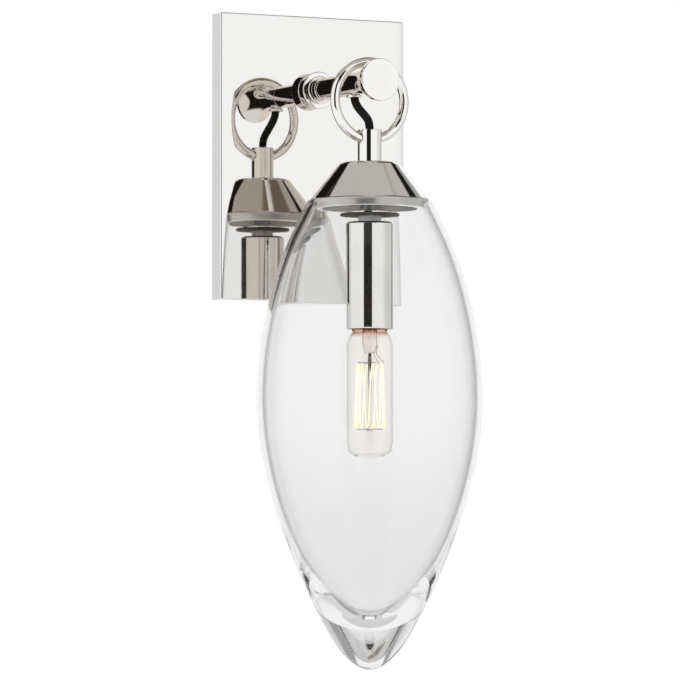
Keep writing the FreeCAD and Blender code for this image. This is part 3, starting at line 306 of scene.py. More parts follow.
def finished(piece, material, body, slot, *nodes):
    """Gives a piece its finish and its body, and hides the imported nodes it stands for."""
    piece.data.materials.clear()
    piece.data.materials.append(material)
    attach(piece, body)
    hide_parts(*nodes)


def kept_shape(node, name, material, body, slot):
    """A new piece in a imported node's own shape, its triangles joined so that it can be shaded smooth."""
    piece = activate(new_piece(name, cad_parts[node].data.copy()))
    bpy.ops.object.mode_set(mode="EDIT")
    bpy.ops.mesh.select_all(action="SELECT")
    bpy.ops.mesh.remove_doubles(threshold=WELD / 2)
    bpy.ops.object.mode_set(mode="OBJECT")
    smooth(piece)
    finished(piece, material, body, slot, node)


def painted_nodes(material, *nodes):
    """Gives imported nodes, whose shape stays as it is, a finish of the scene."""
    for name in nodes:
        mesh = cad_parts[name].data
        mesh.materials.clear()
        mesh.materials.append(material)


# Shader arithmetic

class Value:
    """A socket of a shader's node, with the arithmetic that the finishes use."""

    def __init__(self, tree, socket):
        self.tree = tree
        self.socket = socket

    def node(self, kind, settings=None, output=0, **inputs):
        """Adds a node: its settings first, then its sockets, by name or as in_0 for the first."""
        made = self.tree.nodes.new(kind)
        for name, value in (settings or {}).items():
            setattr(made, name, value)
        for name, value in inputs.items():
            key = int(name[3:]) if name.startswith("in_") else name.replace("_", " ")
            target = made.inputs[key]
            if isinstance(value, Value):
                self.tree.links.new(value.socket, target)
            else:
                target.default_value = value
        return Value(self.tree, made.outputs[output])

    def math(self, operation, other=0.0):
        return self.node("ShaderNodeMath", {"operation": operation}, in_0=self, in_1=other)

    def __add__(self, other):
        return self.math("ADD", other)

    __radd__ = __add__

    def __sub__(self, other):
        return self.math("SUBTRACT", other)

    def __rsub__(self, other):
        return self.node("ShaderNodeMath", {"operation": "SUBTRACT"}, in_0=other, in_1=self)

    def __mul__(self, other):
        return self.math("MULTIPLY", other)

    __rmul__ = __mul__

    def sine(self):
        return self.math("SINE")

    def absolute(self):
        return self.math("ABSOLUTE")

    def larger(self, other):
        return self.math("MAXIMUM", other)

    def above(self, limit):
        """1 where this is above the limit, or else 0."""
        return self.math("GREATER_THAN", limit)

    def between(self, low, high):
        """0 below low and 1 above high, with a smooth step between them."""
        return self.node(
            "ShaderNodeMapRange", {"interpolation_type": "SMOOTHSTEP"},
            Value=self, From_Min=low, From_Max=high, To_Min=0.0, To_Max=1.0,
        )

    def inside(self, low, full, fade, high):
        """1 from full to fade, and 0 below low and above high, with smooth steps."""
        return self.between(low, full) * (1 - self.between(fade, high))

    def mix(self, first, second):
        """The first colour where this is 0 and the second where it is 1."""
        first, second = (side if isinstance(side, Value) else opaque(side) for side in (first, second))
        return self.node("ShaderNodeMix", {"data_type": "RGBA"}, 2, in_0=self, in_6=first, in_7=second)

    def parts(self):
        split = self.node("ShaderNodeSeparateXYZ", Vector=self)
        return [Value(self.tree, socket) for socket in split.socket.node.outputs]

    def scaled(self, x, y, z):
        return self.node("ShaderNodeVectorMath", {"operation": "MULTIPLY"}, in_0=self, in_1=(x, y, z))

    def noise(self, scale, detail=2.0, roughness=0.5):
        return self.node("ShaderNodeTexNoise", Vector=self, Scale=scale, Detail=detail, Roughness=roughness)

    def bump(self, strength, distance):
        return self.node("ShaderNodeBump", Height=self, Strength=strength, Distance=distance)


def new_finish(name):
    """An empty Principled material, its shader, and the place on the object as a value."""
    material = bpy.data.materials.new(name)
    material.use_nodes = True
    tree = material.node_tree
    place = tree.nodes.new("ShaderNodeTexCoord")
    return material, tree.nodes["Principled BSDF"], Value(tree, place.outputs["Object"])


def feed(shader, **inputs):
    """Links values to a shader's sockets by name, and sets the others."""
    for name, value in inputs.items():
        socket = shader.inputs[name.replace("_", " ")]
        if isinstance(value, Value):
            value.tree.links.new(value.socket, socket)
        else:
            socket.default_value = value


def opaque(colour):
    return (*colour, 1.0)


def grey(level):
    return (level, level, level)


def dimmed(colour, share):
    return tuple(part * share for part in colour)


# Materials

# A bump's distance and a glass's ripple are in metres, and a noise's scale is per metre.
LATHE_UPRIGHT = (0.2, 0.2, 6.0)
LATHE_ALONG_ARM = (0.2, 6.0, 0.2)
WARM_TONES = ((0.885, 0.874, 0.856), (0.92, 0.911, 0.897))
SHEET_TONES = ((0.872, 0.867, 0.857), (0.89, 0.886, 0.879))
SATIN_TONES = ((0.95, 0.944, 0.934), (0.975, 0.97, 0.962))


def polished_nickel(name, grain=(1, 1, 1), depth=0.000006, tones=WARM_TONES, dullness=0.0, bright_below=None):
    """Bright, slightly warm plate: faint smears in the polish, hair lines along the lathe, a soft waviness.
    Where bright_below gives a height, the dullness ends there."""
    material, shader, place = new_finish(name)
    if bright_below:
        blur = 0.15
        above = place.parts()[2].between((bright_below - blur) * MM, (bright_below + blur) * MM)
        dullness = above * dullness
    smear = place.noise(38.0, 4.0, 0.62)
    hair = place.scaled(*grain).noise(900.0, 2.0)
    wave = place.noise(24.0, 1.0)
    feed(
        shader,
        Base_Color=smear.between(0.3, 0.75).mix(*tones),
        Roughness=0.012 + dullness + smear * 0.02 + hair * 0.012,
        Metallic=1.0,
        Normal=(wave + hair * 0.02).bump(0.35, depth),
    )
    return material


def zinc_steel():
    """Zinc plate on pressed steel: small crystals that differ in tone, dull and a little blue."""
    material, shader, place = new_finish("zinc_steel")
    crystal = place.node("ShaderNodeTexVoronoi", {"feature": "F1"}, 1, Vector=place, Scale=420.0)
    tone = crystal.node("ShaderNodeSeparateColor", Color=crystal)
    stain = place.noise(60.0, 5.0, 0.6)
    feed(
        shader,
        Base_Color=tone.mix((0.40, 0.42, 0.44), (0.60, 0.61, 0.62)),
        Roughness=0.28 + tone * 0.12 + stain * 0.14,
        Metallic=1.0,
        Normal=(stain + tone * 0.2).bump(0.3, 0.00008),
    )
    return material


def painted_shade_plate():
    """Nearly dull dark brown with cloudy tones and fine rings from the lathe: painted shade, a dark finish
    for polished nickel that shows dark from below.
    """
    material, shader, place = new_finish("painted_shade_plate")
    cloud = place.noise(180.0, 4.0, 0.6)
    ring = place.scaled(*LATHE_UPRIGHT).noise(900.0, 2.0)
    feed(
        shader,
        Base_Color=cloud.between(0.3, 0.75).mix((0.055, 0.040, 0.031), (0.11, 0.083, 0.066)),
        Roughness=0.42 + cloud * 0.2 + ring * 0.08,
        Metallic=0.0,
        Normal=(cloud + ring * 0.1).bump(0.3, 0.00003),
    )
    return material


def green_plate():
    """Green plate of an earth screw, paler where it is worn."""
    material, shader, place = new_finish("green_plated_screw")
    wear = place.noise(700.0, 4.0)
    feed(
        shader,
        Base_Color=wear.between(0.5, 0.8).mix((0.03, 0.20, 0.07), (0.16, 0.36, 0.16)),
        Roughness=0.3 + wear * 0.25,
        Metallic=0.8,
        Normal=wear.bump(0.3, 0.00005),
    )
    return material


def plain_brass(name, colour=(0.72, 0.52, 0.24)):
    """Brass, or another bare metal by its colour, with darker tarnish in clouds."""
    material, shader, place = new_finish(name)
    tarnish = place.noise(260.0, 5.0, 0.6)
    feed(
        shader,
        Base_Color=tarnish.between(0.42, 0.78).mix(colour, dimmed(colour, 0.62)),
        Roughness=0.18 + tarnish * 0.22,
        Metallic=1.0,
        Normal=tarnish.bump(0.2, 0.00004),
    )
    return material


def moulded(name, colour, dullness=0.45):
    """Moulded plastic or opaque glass, a little uneven in tone and with a fine grain."""
    material, shader, place = new_finish(name)
    grain = place.noise(1500.0, 3.0)
    cloud = place.noise(90.0, 2.0)
    paler = tuple(part * 1.5 + 0.01 for part in colour)
    feed(
        shader,
        Base_Color=cloud.mix(colour, paler),
        Roughness=dullness + grain * 0.18,
        Normal=grain.bump(0.25, 0.00005),
    )
    return material


def clear_glass(name, tint, bend, ripple, rim=0.9, glare=1.0, neck=None, foot=None):
    """Blown glass: clear, smooth, with the faintest ripple of the wall. Its colour is greyer where the wall
    is seen edge-on,
    down to rim times the tint: painted shade at its outlines. A foot gives its lowest height, the height
    where a darker colour starts and the share of colour left at the lowest: painted shade, darker towards the
    bottom. A neck gives a height and the colour above it."""
    material, shader, place = new_finish(name)
    height = place.parts()[2]
    wave = place.scaled(1, 1, 0.35).noise(9.0, 1.0)
    body = wave.mix(tint, dimmed(tint, 0.985))
    # Painted shade: the colour darkens from the start height down to the lowest one.
    if foot:
        lowest, start, left = foot
        body = height.between(lowest * MM, start * MM).mix(body.scaled(left, left, left), body)
    # Painted shade: the colour turns greyer, down to rim times the tint, where the wall is seen edge-on at
    # the outlines.
    painted_outline_shade = place.node("ShaderNodeLayerWeight", None, 1, Blend=0.5).between(0.50, 0.88)
    body = painted_outline_shade.mix(body, dimmed(tint, rim))
    if neck:
        level, colour = neck
        body = height.between((level - 1.0) * MM, (level + 0.6) * MM).mix(body, colour)
    feed(
        shader,
        Base_Color=body,
        Roughness=0.0,
        IOR=bend,
        Transmission_Weight=1.0,
        Specular_Tint=opaque(grey(glare)),
        Normal=wave.bump(0.1, ripple),
    )
    return material


def glowing_wire():
    """Hot tungsten: a coil too fine to see, brighter in the middle of each strand than by its hooks."""
    material, shader, place = new_finish("glowing_filament")
    height = place.parts()[2]
    middle, half = -130.8 * MM, 18 * MM
    cool = ((height - middle) * (1 / half)).absolute().between(0.55, 1.05)
    coil = (height * 26000.0).sine() * 0.5 + 0.5
    feed(
        shader,
        Base_Color=coil.mix((0.10, 0.06, 0.03), (0.16, 0.10, 0.05)),
        Roughness=0.5,
        Emission_Color=cool.mix((1.0, 0.90, 0.68), (0.98, 0.74, 0.44)),
        Emission_Strength=1.4,
    )
    return material


def braided_cover():
    """Black cotton braid: two sets of yarns that cross round the flex, with a dull sheen on each yarn, and
    painted highlight and shade in its colour.
    """
    material, shader, place = new_finish("black_braid")
    around = place.node("ShaderNodeAttribute", {"attribute_name": "around"}, 2)
    along = place.node("ShaderNodeAttribute", {"attribute_name": "along"}, 2)
    yarns, lay = around * 16.0, along * 5200.0
    # The yarn's height also sets its colour: lighter where a yarn stands high, darker between yarns, as
    # painted highlight and painted shade.
    yarn = (yarns + lay).sine().absolute() * 0.5 + (yarns - lay).sine().absolute() * 0.5
    fibre = place.noise(5200.0, 3.0)
    feed(
        shader,
        Base_Color=(yarn * 0.8 + fibre * 0.3).mix((0.003, 0.0027, 0.0025), (0.012, 0.0105, 0.0095)),
        Roughness=0.72 + fibre * 0.2,
        Specular_IOR_Level=0.25,
        Normal=(yarn + fibre * 0.3).bump(0.7, 0.00018),
    )
    return material


nickel = polished_nickel("polished_nickel")
nickel_turned = polished_nickel("polished_nickel_turned", grain=LATHE_UPRIGHT, depth=0.000004)
nickel_arm = polished_nickel("polished_nickel_arm", grain=LATHE_ALONG_ARM, depth=0.000004)
nickel_sheet = polished_nickel(
    "polished_nickel_sheet", grain=(4.0, 1.0, 0.3), depth=0.000012, tones=SHEET_TONES,
)
nickel_satin = polished_nickel(
    "satin_nickel", grain=LATHE_UPRIGHT, depth=0.000004, tones=SATIN_TONES, dullness=0.42,
    bright_below=-31.4,
)
# The lower shield is polished nickel; this dark brown finish on it is painted shade.
painted_shade_shield = painted_shade_plate()
zinc = zinc_steel()
earth_green = green_plate()
contact_brass = plain_brass("contact_brass")
base_brass = plain_brass("lamp_base_brass", (0.78, 0.60, 0.38))
support_grey = plain_brass("support_wire", (0.78, 0.68, 0.60))
holder_black = moulded("lampholder_moulding", (0.022, 0.018, 0.016))
wire_black = moulded("wire_insulation", (0.02, 0.02, 0.022), dullness=0.38)
insulator_black = moulded("lamp_insulator_glass", (0.008, 0.008, 0.01), dullness=0.12)
# In each glass below, rim sets how grey its painted outline shade turns.
shade_glass = clear_glass(
    "shade_glass", grey(0.945), bend=1.5, ripple=0.00001, rim=0.74, glare=0.32,
    # Painted shade: the shade's colour darkens to 0.945 of itself from -126 mm down to -232 mm.
    foot=(-232, -126, 0.945),
)
lamp_glass = clear_glass(
    "lamp_glass", (1.0, 0.991, 0.970), bend=1.45, ripple=0.000004, rim=0.88,
    neck=(-98.6, (0.91, 0.74, 0.65)),
)
mount_glass = clear_glass(
    "lamp_mount_glass", (1.0, 0.975, 0.96), bend=1.25, ripple=0.000004, rim=0.6,
    neck=(-109.0, (0.985, 0.93, 0.905)),
)
bond_clear = clear_glass("neck_adhesive", (0.96, 0.955, 0.94), bend=1.45, ripple=0.00002)
filament_hot = glowing_wire()
braid = braided_cover()


# Flex, the only free cord: out of the arm's bushing, over to the pendant's line and into the stem, in metres

FLEX_ROUTE = (
    (0, -0.0578, 0.0339),
    (0, -0.0579, 0.0290),
    (0, -0.0609, 0.0250),
    (0, -0.0667, 0.0211),
    (0, -0.0720, 0.0179),
    (0, -0.0751, 0.0149),
    (0, -0.0755, 0.0108),
)


def mark_braid(piece, path):
    """Writes on each vertex its angle round the flex and its distance along it, for the braid's yarns."""
    around = piece.data.attributes.new("around", "FLOAT", "POINT")
    along = piece.data.attributes.new("along", "FLOAT", "POINT")
    travel = [0.0]
    for start, finish in zip(path, path[1:]):
        travel.append(travel[-1] + (finish - start).length)
    for vertex in piece.data.vertices:
        nearest = min(range(len(path)), key=lambda index: (path[index] - vertex.co).length_squared)
        onward = path[min(nearest + 1, len(path) - 1)] - path[max(nearest - 1, 0)]
        outward = vertex.co - path[nearest]
        across = onward.normalized().cross(Vector((1, 0, 0)))
        around.data[vertex.index].value = math.atan2(outward.dot(across), outward.x)
        along.data[vertex.index].value = travel[nearest]


def pendant_flex():
    radius, steps, roundness = 0.0022, 12, 10
    middle_line = spline_tube("flex_line", FLEX_ROUTE, 0, steps, roundness)
    path = [vertex.co.copy() for vertex in middle_line.vertices]
    piece = new_piece("flex", spline_tube("flex_line", FLEX_ROUTE, radius, steps, roundness))
    smooth(piece, 50)
    mark_braid(piece, path)
    piece.data.materials.clear()
    piece.data.materials.append(braid)
    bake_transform(piece)
    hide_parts("pendant_flex")


place_camera()
pendant_flex()


# Back plate, bracket and their screws

def plate_blank():
    """The plate's block. Its face is flat in the middle and rolls off a little to the sides."""
    # Distance from the middle, and how far the face stands out there past its side edges.
    roll = ((PLATE_WIDTH / 2, 0.0), (53.2, 0.35), (51.0, 0.515), (48.0, 0.625))
    edge_depth = PLATE_DEPTH - roll[-1][1]
    support = 1.1
    deselect()
    bpy.ops.mesh.primitive_cube_add(size=1, location=(0, -edge_depth / 2 * MM, 0))
    piece = bpy.context.active_object
    piece.scale = (PLATE_WIDTH * MM, edge_depth * MM, PLATE_HEIGHT * MM)
    piece.name = "back_plate"
    settle(piece)
    bpy.ops.object.mode_set(mode="EDIT")
    bpy.ops.mesh.select_mode(type="VERT")
    for side in (-1, 1):
        for distance, height in roll[1:]:
            bpy.ops.mesh.select_all(action="SELECT")
            bpy.ops.mesh.bisect(plane_co=(side * distance * MM, 0, 0), plane_no=(1, 0, 0))
        level = side * (PLATE_HEIGHT / 2 - support)
        bpy.ops.mesh.select_all(action="SELECT")
        bpy.ops.mesh.bisect(plane_co=(0, 0, level * MM), plane_no=(0, 0, 1))
    bpy.ops.object.mode_set(mode="OBJECT")
    for vertex in piece.data.vertices:
        if in_front(vertex.co):
            nearest = min(roll, key=lambda step: abs(abs(vertex.co.x) - step[0] * MM))
            vertex.co.y -= nearest[1] * MM
    return piece


def in_front(place):
    """True for a place on the plate's face, which is less than a millimetre behind its foremost point."""
    return place.y < (1 - PLATE_DEPTH) * MM


def back_plate():
    """Pressed pan with rounded front edges and a hole above and below for a set screw."""
    hollow, rounding, near = PLATE_DEPTH - PLATE_WALL, 0.8, 0.1
    piece = plate_blank()
    bpy.ops.object.mode_set(mode="EDIT")
    pick(piece, "FACE", lambda face: face.normal.y > 0.9)
    bpy.ops.mesh.inset(thickness=PLATE_WALL * MM)
    bpy.ops.mesh.extrude_region_move(TRANSFORM_OT_translate={"value": (0, -hollow * MM, 0)})

    def to_round(edge):
        ends = [piece.data.vertices[index].co for index in edge.vertices]
        side_edge = all(abs(end.x) > (PLATE_WIDTH / 2 - near) * MM for end in ends)
        level_edge = all(abs(end.z) > (PLATE_HEIGHT / 2 - near) * MM for end in ends)
        on_face = all(in_front(end) for end in ends)
        return (on_face and (side_edge or level_edge)) or (side_edge and level_edge)

    pick(piece, "EDGE", to_round)
    bpy.ops.mesh.bevel(offset=rounding * MM, segments=6, profile=0.5)
    bpy.ops.mesh.select_mode(type="VERT")
    weld()
    bpy.ops.object.mode_set(mode="OBJECT")
    for side in (-1, 1):
        drilled(piece, radius=2.05, depth=8.0, place=(0, -3.9, side * PLATE_HEIGHT / 2), vertices=48)
    smooth(piece, 40)
    finished(piece, nickel_sheet, "root", "polished_nickel", "backplate")


back_plate()
painted_nodes(zinc, "mounting_bracket", "arm_lock_nut", "cap_lock_nut", "socket_nut")
painted_nodes(earth_green, "earth_screw")
painted_nodes(wire_black, "arm_wires")
kept_shape("plate_set_screws", "set_screws", nickel, "root", "zinc_steel")
kept_shape("arm_nipple", "arm_nipple_rod", zinc, "root", "zinc_steel")
kept_shape("arm_lock_washer", "lock_washer", zinc, "root", "zinc_steel")


# Arm

def arm_collar():
    """Stepped collar: a wide foot that is eased where it meets the plate, a step and a neck on the tube."""
    outline = [(NIPPLE_HOLE, PLATE_DEPTH), (9.1, PLATE_DEPTH), (9.24, 11.04), (9.35, 11.14), (9.42, 11.3)]
    outline += [(9.55, 12.6), (9.8, 14.8), (10.0, 16.6)]
    outline += arc_points((9.5, 17.6), 0.6, 0, 90, 5)
    outline += [(8.2, 18.2), (7.6, 18.2)]
    outline += arc_points((7.0, 19.1), 0.6, 0, 90, 5)
    outline += [(6.5, 19.7), (6.5, 24.3)]
    outline += arc_points((6.2, 24.3), 0.3, 0, 90, 4)
    outline += [(NIPPLE_HOLE, 24.6)]
    piece = turned("collar_on_plate", outline, "arm")
    finished(piece, nickel_arm, "root", "polished_nickel", "arm_collar")


def arm_tube():
    start, end = 24.6, 49.0
    outline = [(NIPPLE_HOLE, start), (TUBE_RADIUS, start), (TUBE_RADIUS, 48.9), (5.85, end)]
    outline += [(NIPPLE_HOLE, end)]
    finished(turned("arm_rod", outline, "arm"), nickel_arm, "root", "polished_nickel", "arm_tube")


def arm_flare():
    """The arm's outer end, which curves out to the end cap, with the flex's hole in its underside."""
    curve, start, length, steps = 56.93, 61.0, 24.2, 24
    outline = [(4.85, 42.0), (4.85, 49.0), (5.85, 49.0), (TUBE_RADIUS, 49.1)]
    for step in range(steps + 1):
        out = length * step / steps
        outline.append((TUBE_RADIUS + curve - math.sqrt(curve * curve - out * out), start + out))
    outline += [(3.05, 85.2), (3.05, 80.1), (0, 80.1), (0, 64.0), (3.6, 64.0), (3.6, 42.0)]
    piece = turned("arm_flared_end", outline, "arm")
    drilled(piece, radius=3.45, depth=8.0, place=(0, -57.8, 33.0), vertices=64)
    smooth(piece, 32)
    finished(piece, nickel_arm, "root", "polished_nickel", "arm_flare")


def arm_end_cap():
    outline = [(0, 80.2), (3.0, 80.2), (3.0, 85.2), (11.25, 85.2), (11.3, 85.35), (11.3, 87.5)]
    outline += arc_points((10.8, 87.5), 0.5, 0, 90, 6)[1:] + [(6.0, 88.0), (0, 88.0)]
    finished(turned("arm_end_disc", outline, "arm"), nickel_arm, "root", "polished_nickel", "arm_end_cap")


arm_collar()
arm_tube()
arm_flare()
arm_end_cap()
kept_shape("flex_bushing", "flex_grommet", nickel_turned, "root", "polished_nickel")


# Ring

def hanging_ring():
    """Round wire bent to a ring. Its soldered joint is a hair line at the top, over the arm."""
    wire_steps, ring_steps = 48, 192
    joint_width, joint_share = 0.10, 0.965
    middle = Vector((0, PENDANT_Y, RING_Z)) * MM
    top = middle + Vector((0, 0, RING_RADIUS)) * MM
    angles = [2 * math.pi * step / wire_steps for step in range(wire_steps)]
    wire = [top + Vector((0, math.cos(angle), math.sin(angle))) * WIRE_RADIUS * MM for angle in angles]
    piece = drawn(wire[1:] + wire[:1], wire[0])
    piece.name = "ring"
    spun(ring_steps, middle, (0, 1, 0))

    def at_joint(vertex):
        return abs(vertex.co.x) < WELD / 2 and vertex.co.z > middle.z

    def round_joint(edge):
        return all(at_joint(piece.data.vertices[index]) for index in edge.vertices)

    pick(piece, "EDGE", round_joint)
    bpy.ops.mesh.bevel(offset=joint_width * MM, segments=2, profile=0.5)
    pick(piece, "VERT", at_joint)
    bpy.ops.transform.resize(value=(1, joint_share, joint_share), center_override=top)
    bpy.ops.object.mode_set(mode="OBJECT")
    settle(piece)
    smooth(piece, 60)
    finished(piece, nickel, "ring", "polished_nickel", "hanging_ring")


hanging_ring()


# Pendant's metal

def stem():
    """Short tube with rounded lips at its top and a cross hole for the ring."""
    outline = [(5.4, -1.0), (5.4, 10.7), (5.6, 11.0), (6.1, 11.0), (6.35, 10.9), (6.45, 10.65), (6.45, 10.2)]
    outline += [(6.45, 3.1), (6.45, -6.35), (6.4, CAP_TOP), (NIPPLE_HOLE, CAP_TOP), (NIPPLE_HOLE, -1.0)]
    piece = turned("stem", outline, steps=256)
    drilled(
        piece, radius=3.25, depth=20.0, place=(0, PENDANT_Y, 6.66), vertices=96,
        rotation=(0, math.pi / 2, 0),
    )
    smooth(piece, 32)
    finished(piece, nickel_turned, "pendant", "polished_nickel", "stem_tube")


def cap():
    """Cone with a soft shoulder and a fine bead at its foot."""
    outline = [(NIPPLE_HOLE, CAP_TOP), (13.8, CAP_TOP)]
    outline += curve_through([(13.8, CAP_TOP), (15.4, -6.75), (16.8, -7.9)], 5)[1:]
    outline += [(31.7, -26.2), (31.85, -26.35), (31.75, CAP_FOOT), (26.88, CAP_FOOT), (26.88, -23.4)]
    outline += [(15.43, -8.9), (NIPPLE_HOLE, -8.9)]
    finished(turned("cap", outline), nickel_turned, "pendant", "polished_nickel", "shade_cap")


def sleeve():
    """Deep cup with a rounded shoulder, open below and rolled at its rim."""
    outline = [(NIPPLE_HOLE, SLEEVE_TOP), (11.25, SLEEVE_TOP)]
    outline += arc_points((11.25, -40.3), 1.4, 90, 0, 8)[1:]
    outline += [(12.65, -94.9), (12.5, -95.3), (11.9, -95.3), (11.75, -95.0), (11.75, -40.1)]
    outline += [(NIPPLE_HOLE, -40.1)]
    finished(turned("sleeve", outline), nickel_turned, "pendant", "polished_nickel", "socket_sleeve")


def shields():
    """Two thin discs on the nipple, the lower one wider."""
    top, seam, foot = -33.4, -34.4, -35.6
    upper = [(NIPPLE_HOLE, top), (11.6, top), (11.8, -33.6), (11.8, seam), (NIPPLE_HOLE, seam)]
    finished(turned("upper_shield", upper), nickel_turned, "pendant", "polished_nickel", "shield_washer")
    lower = [(NIPPLE_HOLE, seam), (15.6, seam), (15.8, -34.7), (15.8, -35.3), (15.6, foot)]
    lower += [(NIPPLE_HOLE, foot)]
    # Painted shade: the polished lower shield gets a dark brown finish.
    finished(turned("lower_shield", lower), painted_shade_shield, "pendant", "polished_nickel", "shield_disc")


stem()
cap()
sleeve()
shields()
kept_shape("socket_nipple", "socket_nipple_rod", zinc, "pendant", "zinc_steel")
kept_shape("socket_wires", "socket_leads", wire_black, "pendant", "wire_insulation")
kept_shape("lampholder_body", "lampholder", holder_black, "pendant", "lampholder_plastic")
kept_shape("screw_shell", "lampholder_shell", contact_brass, "pendant", "contact_brass")
kept_shape("centre_contact", "middle_contact", contact_brass, "pendant", "contact_brass")
painted_nodes(contact_brass, "terminal_screws")


# Shade

def glass_side(widest, length, shape):
    """Points of one side of the glass, from shares of its length downward and of its widest radius."""
    neck = -26.8
    return [(widest * out, neck - length * down) for down, out in shape]


def glass_shade():
    """Seed-shaped shade blown in one piece: an even wall, and a thick solid bottom under a rounded hollow."""
    outside = [(33.4, -27.6)] + glass_side(59.8, 249.2, (
        (0.094, 0.737), (0.255, 0.933), (0.447, 1.0), (0.620, 0.884), (0.780, 0.652), (0.928, 0.350),
        (0.980, 0.180),
    )) + [(0.0, -276.0)]
    inside = [(29.6, -27.6)] + glass_side(56.6, 224.4, (
        (0.105, 0.713), (0.283, 0.927), (0.497, 1.0), (0.694, 0.871), (0.848, 0.633), (0.954, 0.335),
    )) + [(0.0, -251.2)]
    outline = arc_points((30.5, -27.7), 0.9, 180, 90, 4) + arc_points((32.5, -27.7), 0.9, 90, 0, 4)
    outline += spline_through(outside, 9)[1:] + spline_through(inside, 9)[:0:-1]
    piece = turned("shade", outline, steps=160, degrees=60, straight=False)
    finished(piece, shade_glass, "shade", "shade_glass", "glass_shade")


def collar_in_neck():
    outline = [(25.4, -23.5), (26.7, -23.5), (26.8, -23.7), (26.8, -26.8), (28.9, -26.8), (28.9, -31.1)]
    outline += arc_points((28.3, -31.1), 0.6, 0, -90, 5)[1:] + [(25.4, -31.7)]
    finished(turned("collar", outline), nickel_satin, "shade", "polished_nickel", "shade_collar")


glass_shade()
collar_in_neck()
painted_nodes(bond_clear, "neck_bond")


# Lamp

def lamp_bulb():
    """Tubular lamp: a straight side with a rounded end, drawn in to a collar and a neck."""
    wall = 0.7

    def side(inset):
        neck, collar, straight = 5.5 - inset, 9.5 - inset, LAMP_RADIUS - inset
        line = [(neck, -79.2), (neck, -90.7), (collar, -95.3), (collar, -97.3)]
        line += curve_through([(collar, -97.3), (11.4 - inset, -99.4), (straight, -103.5)], 6)[1:]
        line += [(straight, -130.0), (straight, -155.6)]
        tip = [(straight, -155.6), (11.3 - inset, -160.2), (7.2, -163.0 + inset), (0.0, -164.1 + inset)]
        return line + curve_through(tip, 8)[1:]

    outline = side(0.0) + side(wall)[::-1]
    finished(turned("bulb", outline, degrees=60), lamp_glass, "lamp", "lamp_glass", "lamp_envelope")


def lamp_filament():
    """Squirrel-cage filament: one fine wire led up and down between the upper and the lower hooks, spread a
    little wider below, with a small turn round each hook."""
    hooks, first_angle, wire_radius = 8, 0.35, 0.26
    # Share of the way to the next hook, distance from the pendant's line, and height.
    up_and_down = (
        (0.08, 7.1, -115.5), (0.20, 7.0, -113.4), (0.32, 7.1, -115.5),
        (0.58, 8.1, -146.0), (0.70, 8.1, -148.1), (0.82, 8.1, -146.0),
    )
    line = []
    for hook in range(hooks):
        for share, radius, height in up_and_down:
            angle = 2 * math.pi * (hook + share) / hooks + first_angle
            place = (radius * math.cos(angle), PENDANT_Y + radius * math.sin(angle), height)
            line.append(Vector(place) * MM)
    wire = spline_tube("filament_line", line, wire_radius * MM, steps=4, roundness=3)
    piece = new_piece("filament", wire)
    smooth(piece, 60)
    finished(piece, filament_hot, "lamp", "filament_wire", "lamp_filament")


def lamp_screw_base():
    """Rolled thread: the shell's side swells and narrows by turns, as the drawn base of a small lamp does."""
    turns, steps, pitch, depth = 7, 6, 2.3, 0.33
    outline = [(3.0, -67.7), (5.3, -67.7)]
    for step in range(turns * steps + 1):
        outline.append((5.6 + depth * math.cos(2 * step * math.pi / steps), -68.2 - step * pitch / steps))
    outline += [(5.95, -85.0), (5.95, -87.2), (5.6, -87.2), (5.25, -84.0), (5.0, -68.05), (3.0, -68.05)]
    piece = turned("lamp_base_shell", outline, degrees=60)
    finished(piece, base_brass, "lamp", "lamp_base_metal", "lamp_base")


lamp_bulb()
lamp_screw_base()
kept_shape("lamp_mount", "lamp_stem_glass", mount_glass, "lamp", "lamp_glass")
lamp_filament()
kept_shape("lamp_supports", "filament_hooks", support_grey, "lamp", "support_wire")
kept_shape("lamp_base_insulator", "base_insulator", insulator_black, "lamp", "lamp_insulator")
kept_shape("lamp_tip_contact", "base_tip", base_brass, "lamp", "lamp_base_metal")


# Studio

# Here turn is a direction's angle from TOWARD_CAMERA toward +X and rise its angle upward, in degrees.

def screen_by_camera(turn, rise, again, thrice):
    """Dark screen round the camera. Second reflections show it wider and lower, and third ones narrow."""
    left_end = turn + thrice * 7
    right_end = turn - again * 22 + thrice * 58
    foot = rise.between(-11, -8) * (1 - again) + rise.between(-44, -34) * again
    return left_end.between(-31, -28) * (1 - right_end.between(9, 13)) * foot


def high_screens(turn, rise):
    """Dark screens above eye level: a slanting beam, a paler shelf, and one on each side toward the wall."""
    slope, height = 0.761, 46.6
    line = rise + turn * slope - height
    beam = (1 - line.absolute().between(7, 11)) * turn.between(0, 4) * (1 - turn.between(30, 35))
    shelf = rise.between(29, 33) * turn.inside(38, 44, 84, 92) * 0.75
    right = turn.between(98, 104) * rise.between(37, 40)
    left = turn.inside(-150, -144, -104, -98) * rise.between(30, 36)
    return beam.larger(right).larger(shelf).larger(left)


def grey_cards(turn, rise):
    """White, with a grey card on each side toward the wall, darker at its far edge."""
    left_card = turn.inside(-150, -144, -108, -100) * (1 - rise.between(12, 22))
    right_card = turn.inside(58, 92, 144, 150)
    left_edge = turn.inside(-150, -144, -140, -134)
    right_edge = turn.inside(124, 130, 144, 150)
    cards = left_card.larger(right_card).mix(WHITE, grey(0.74))
    return left_edge.larger(right_edge).mix(cards, grey(0.36))


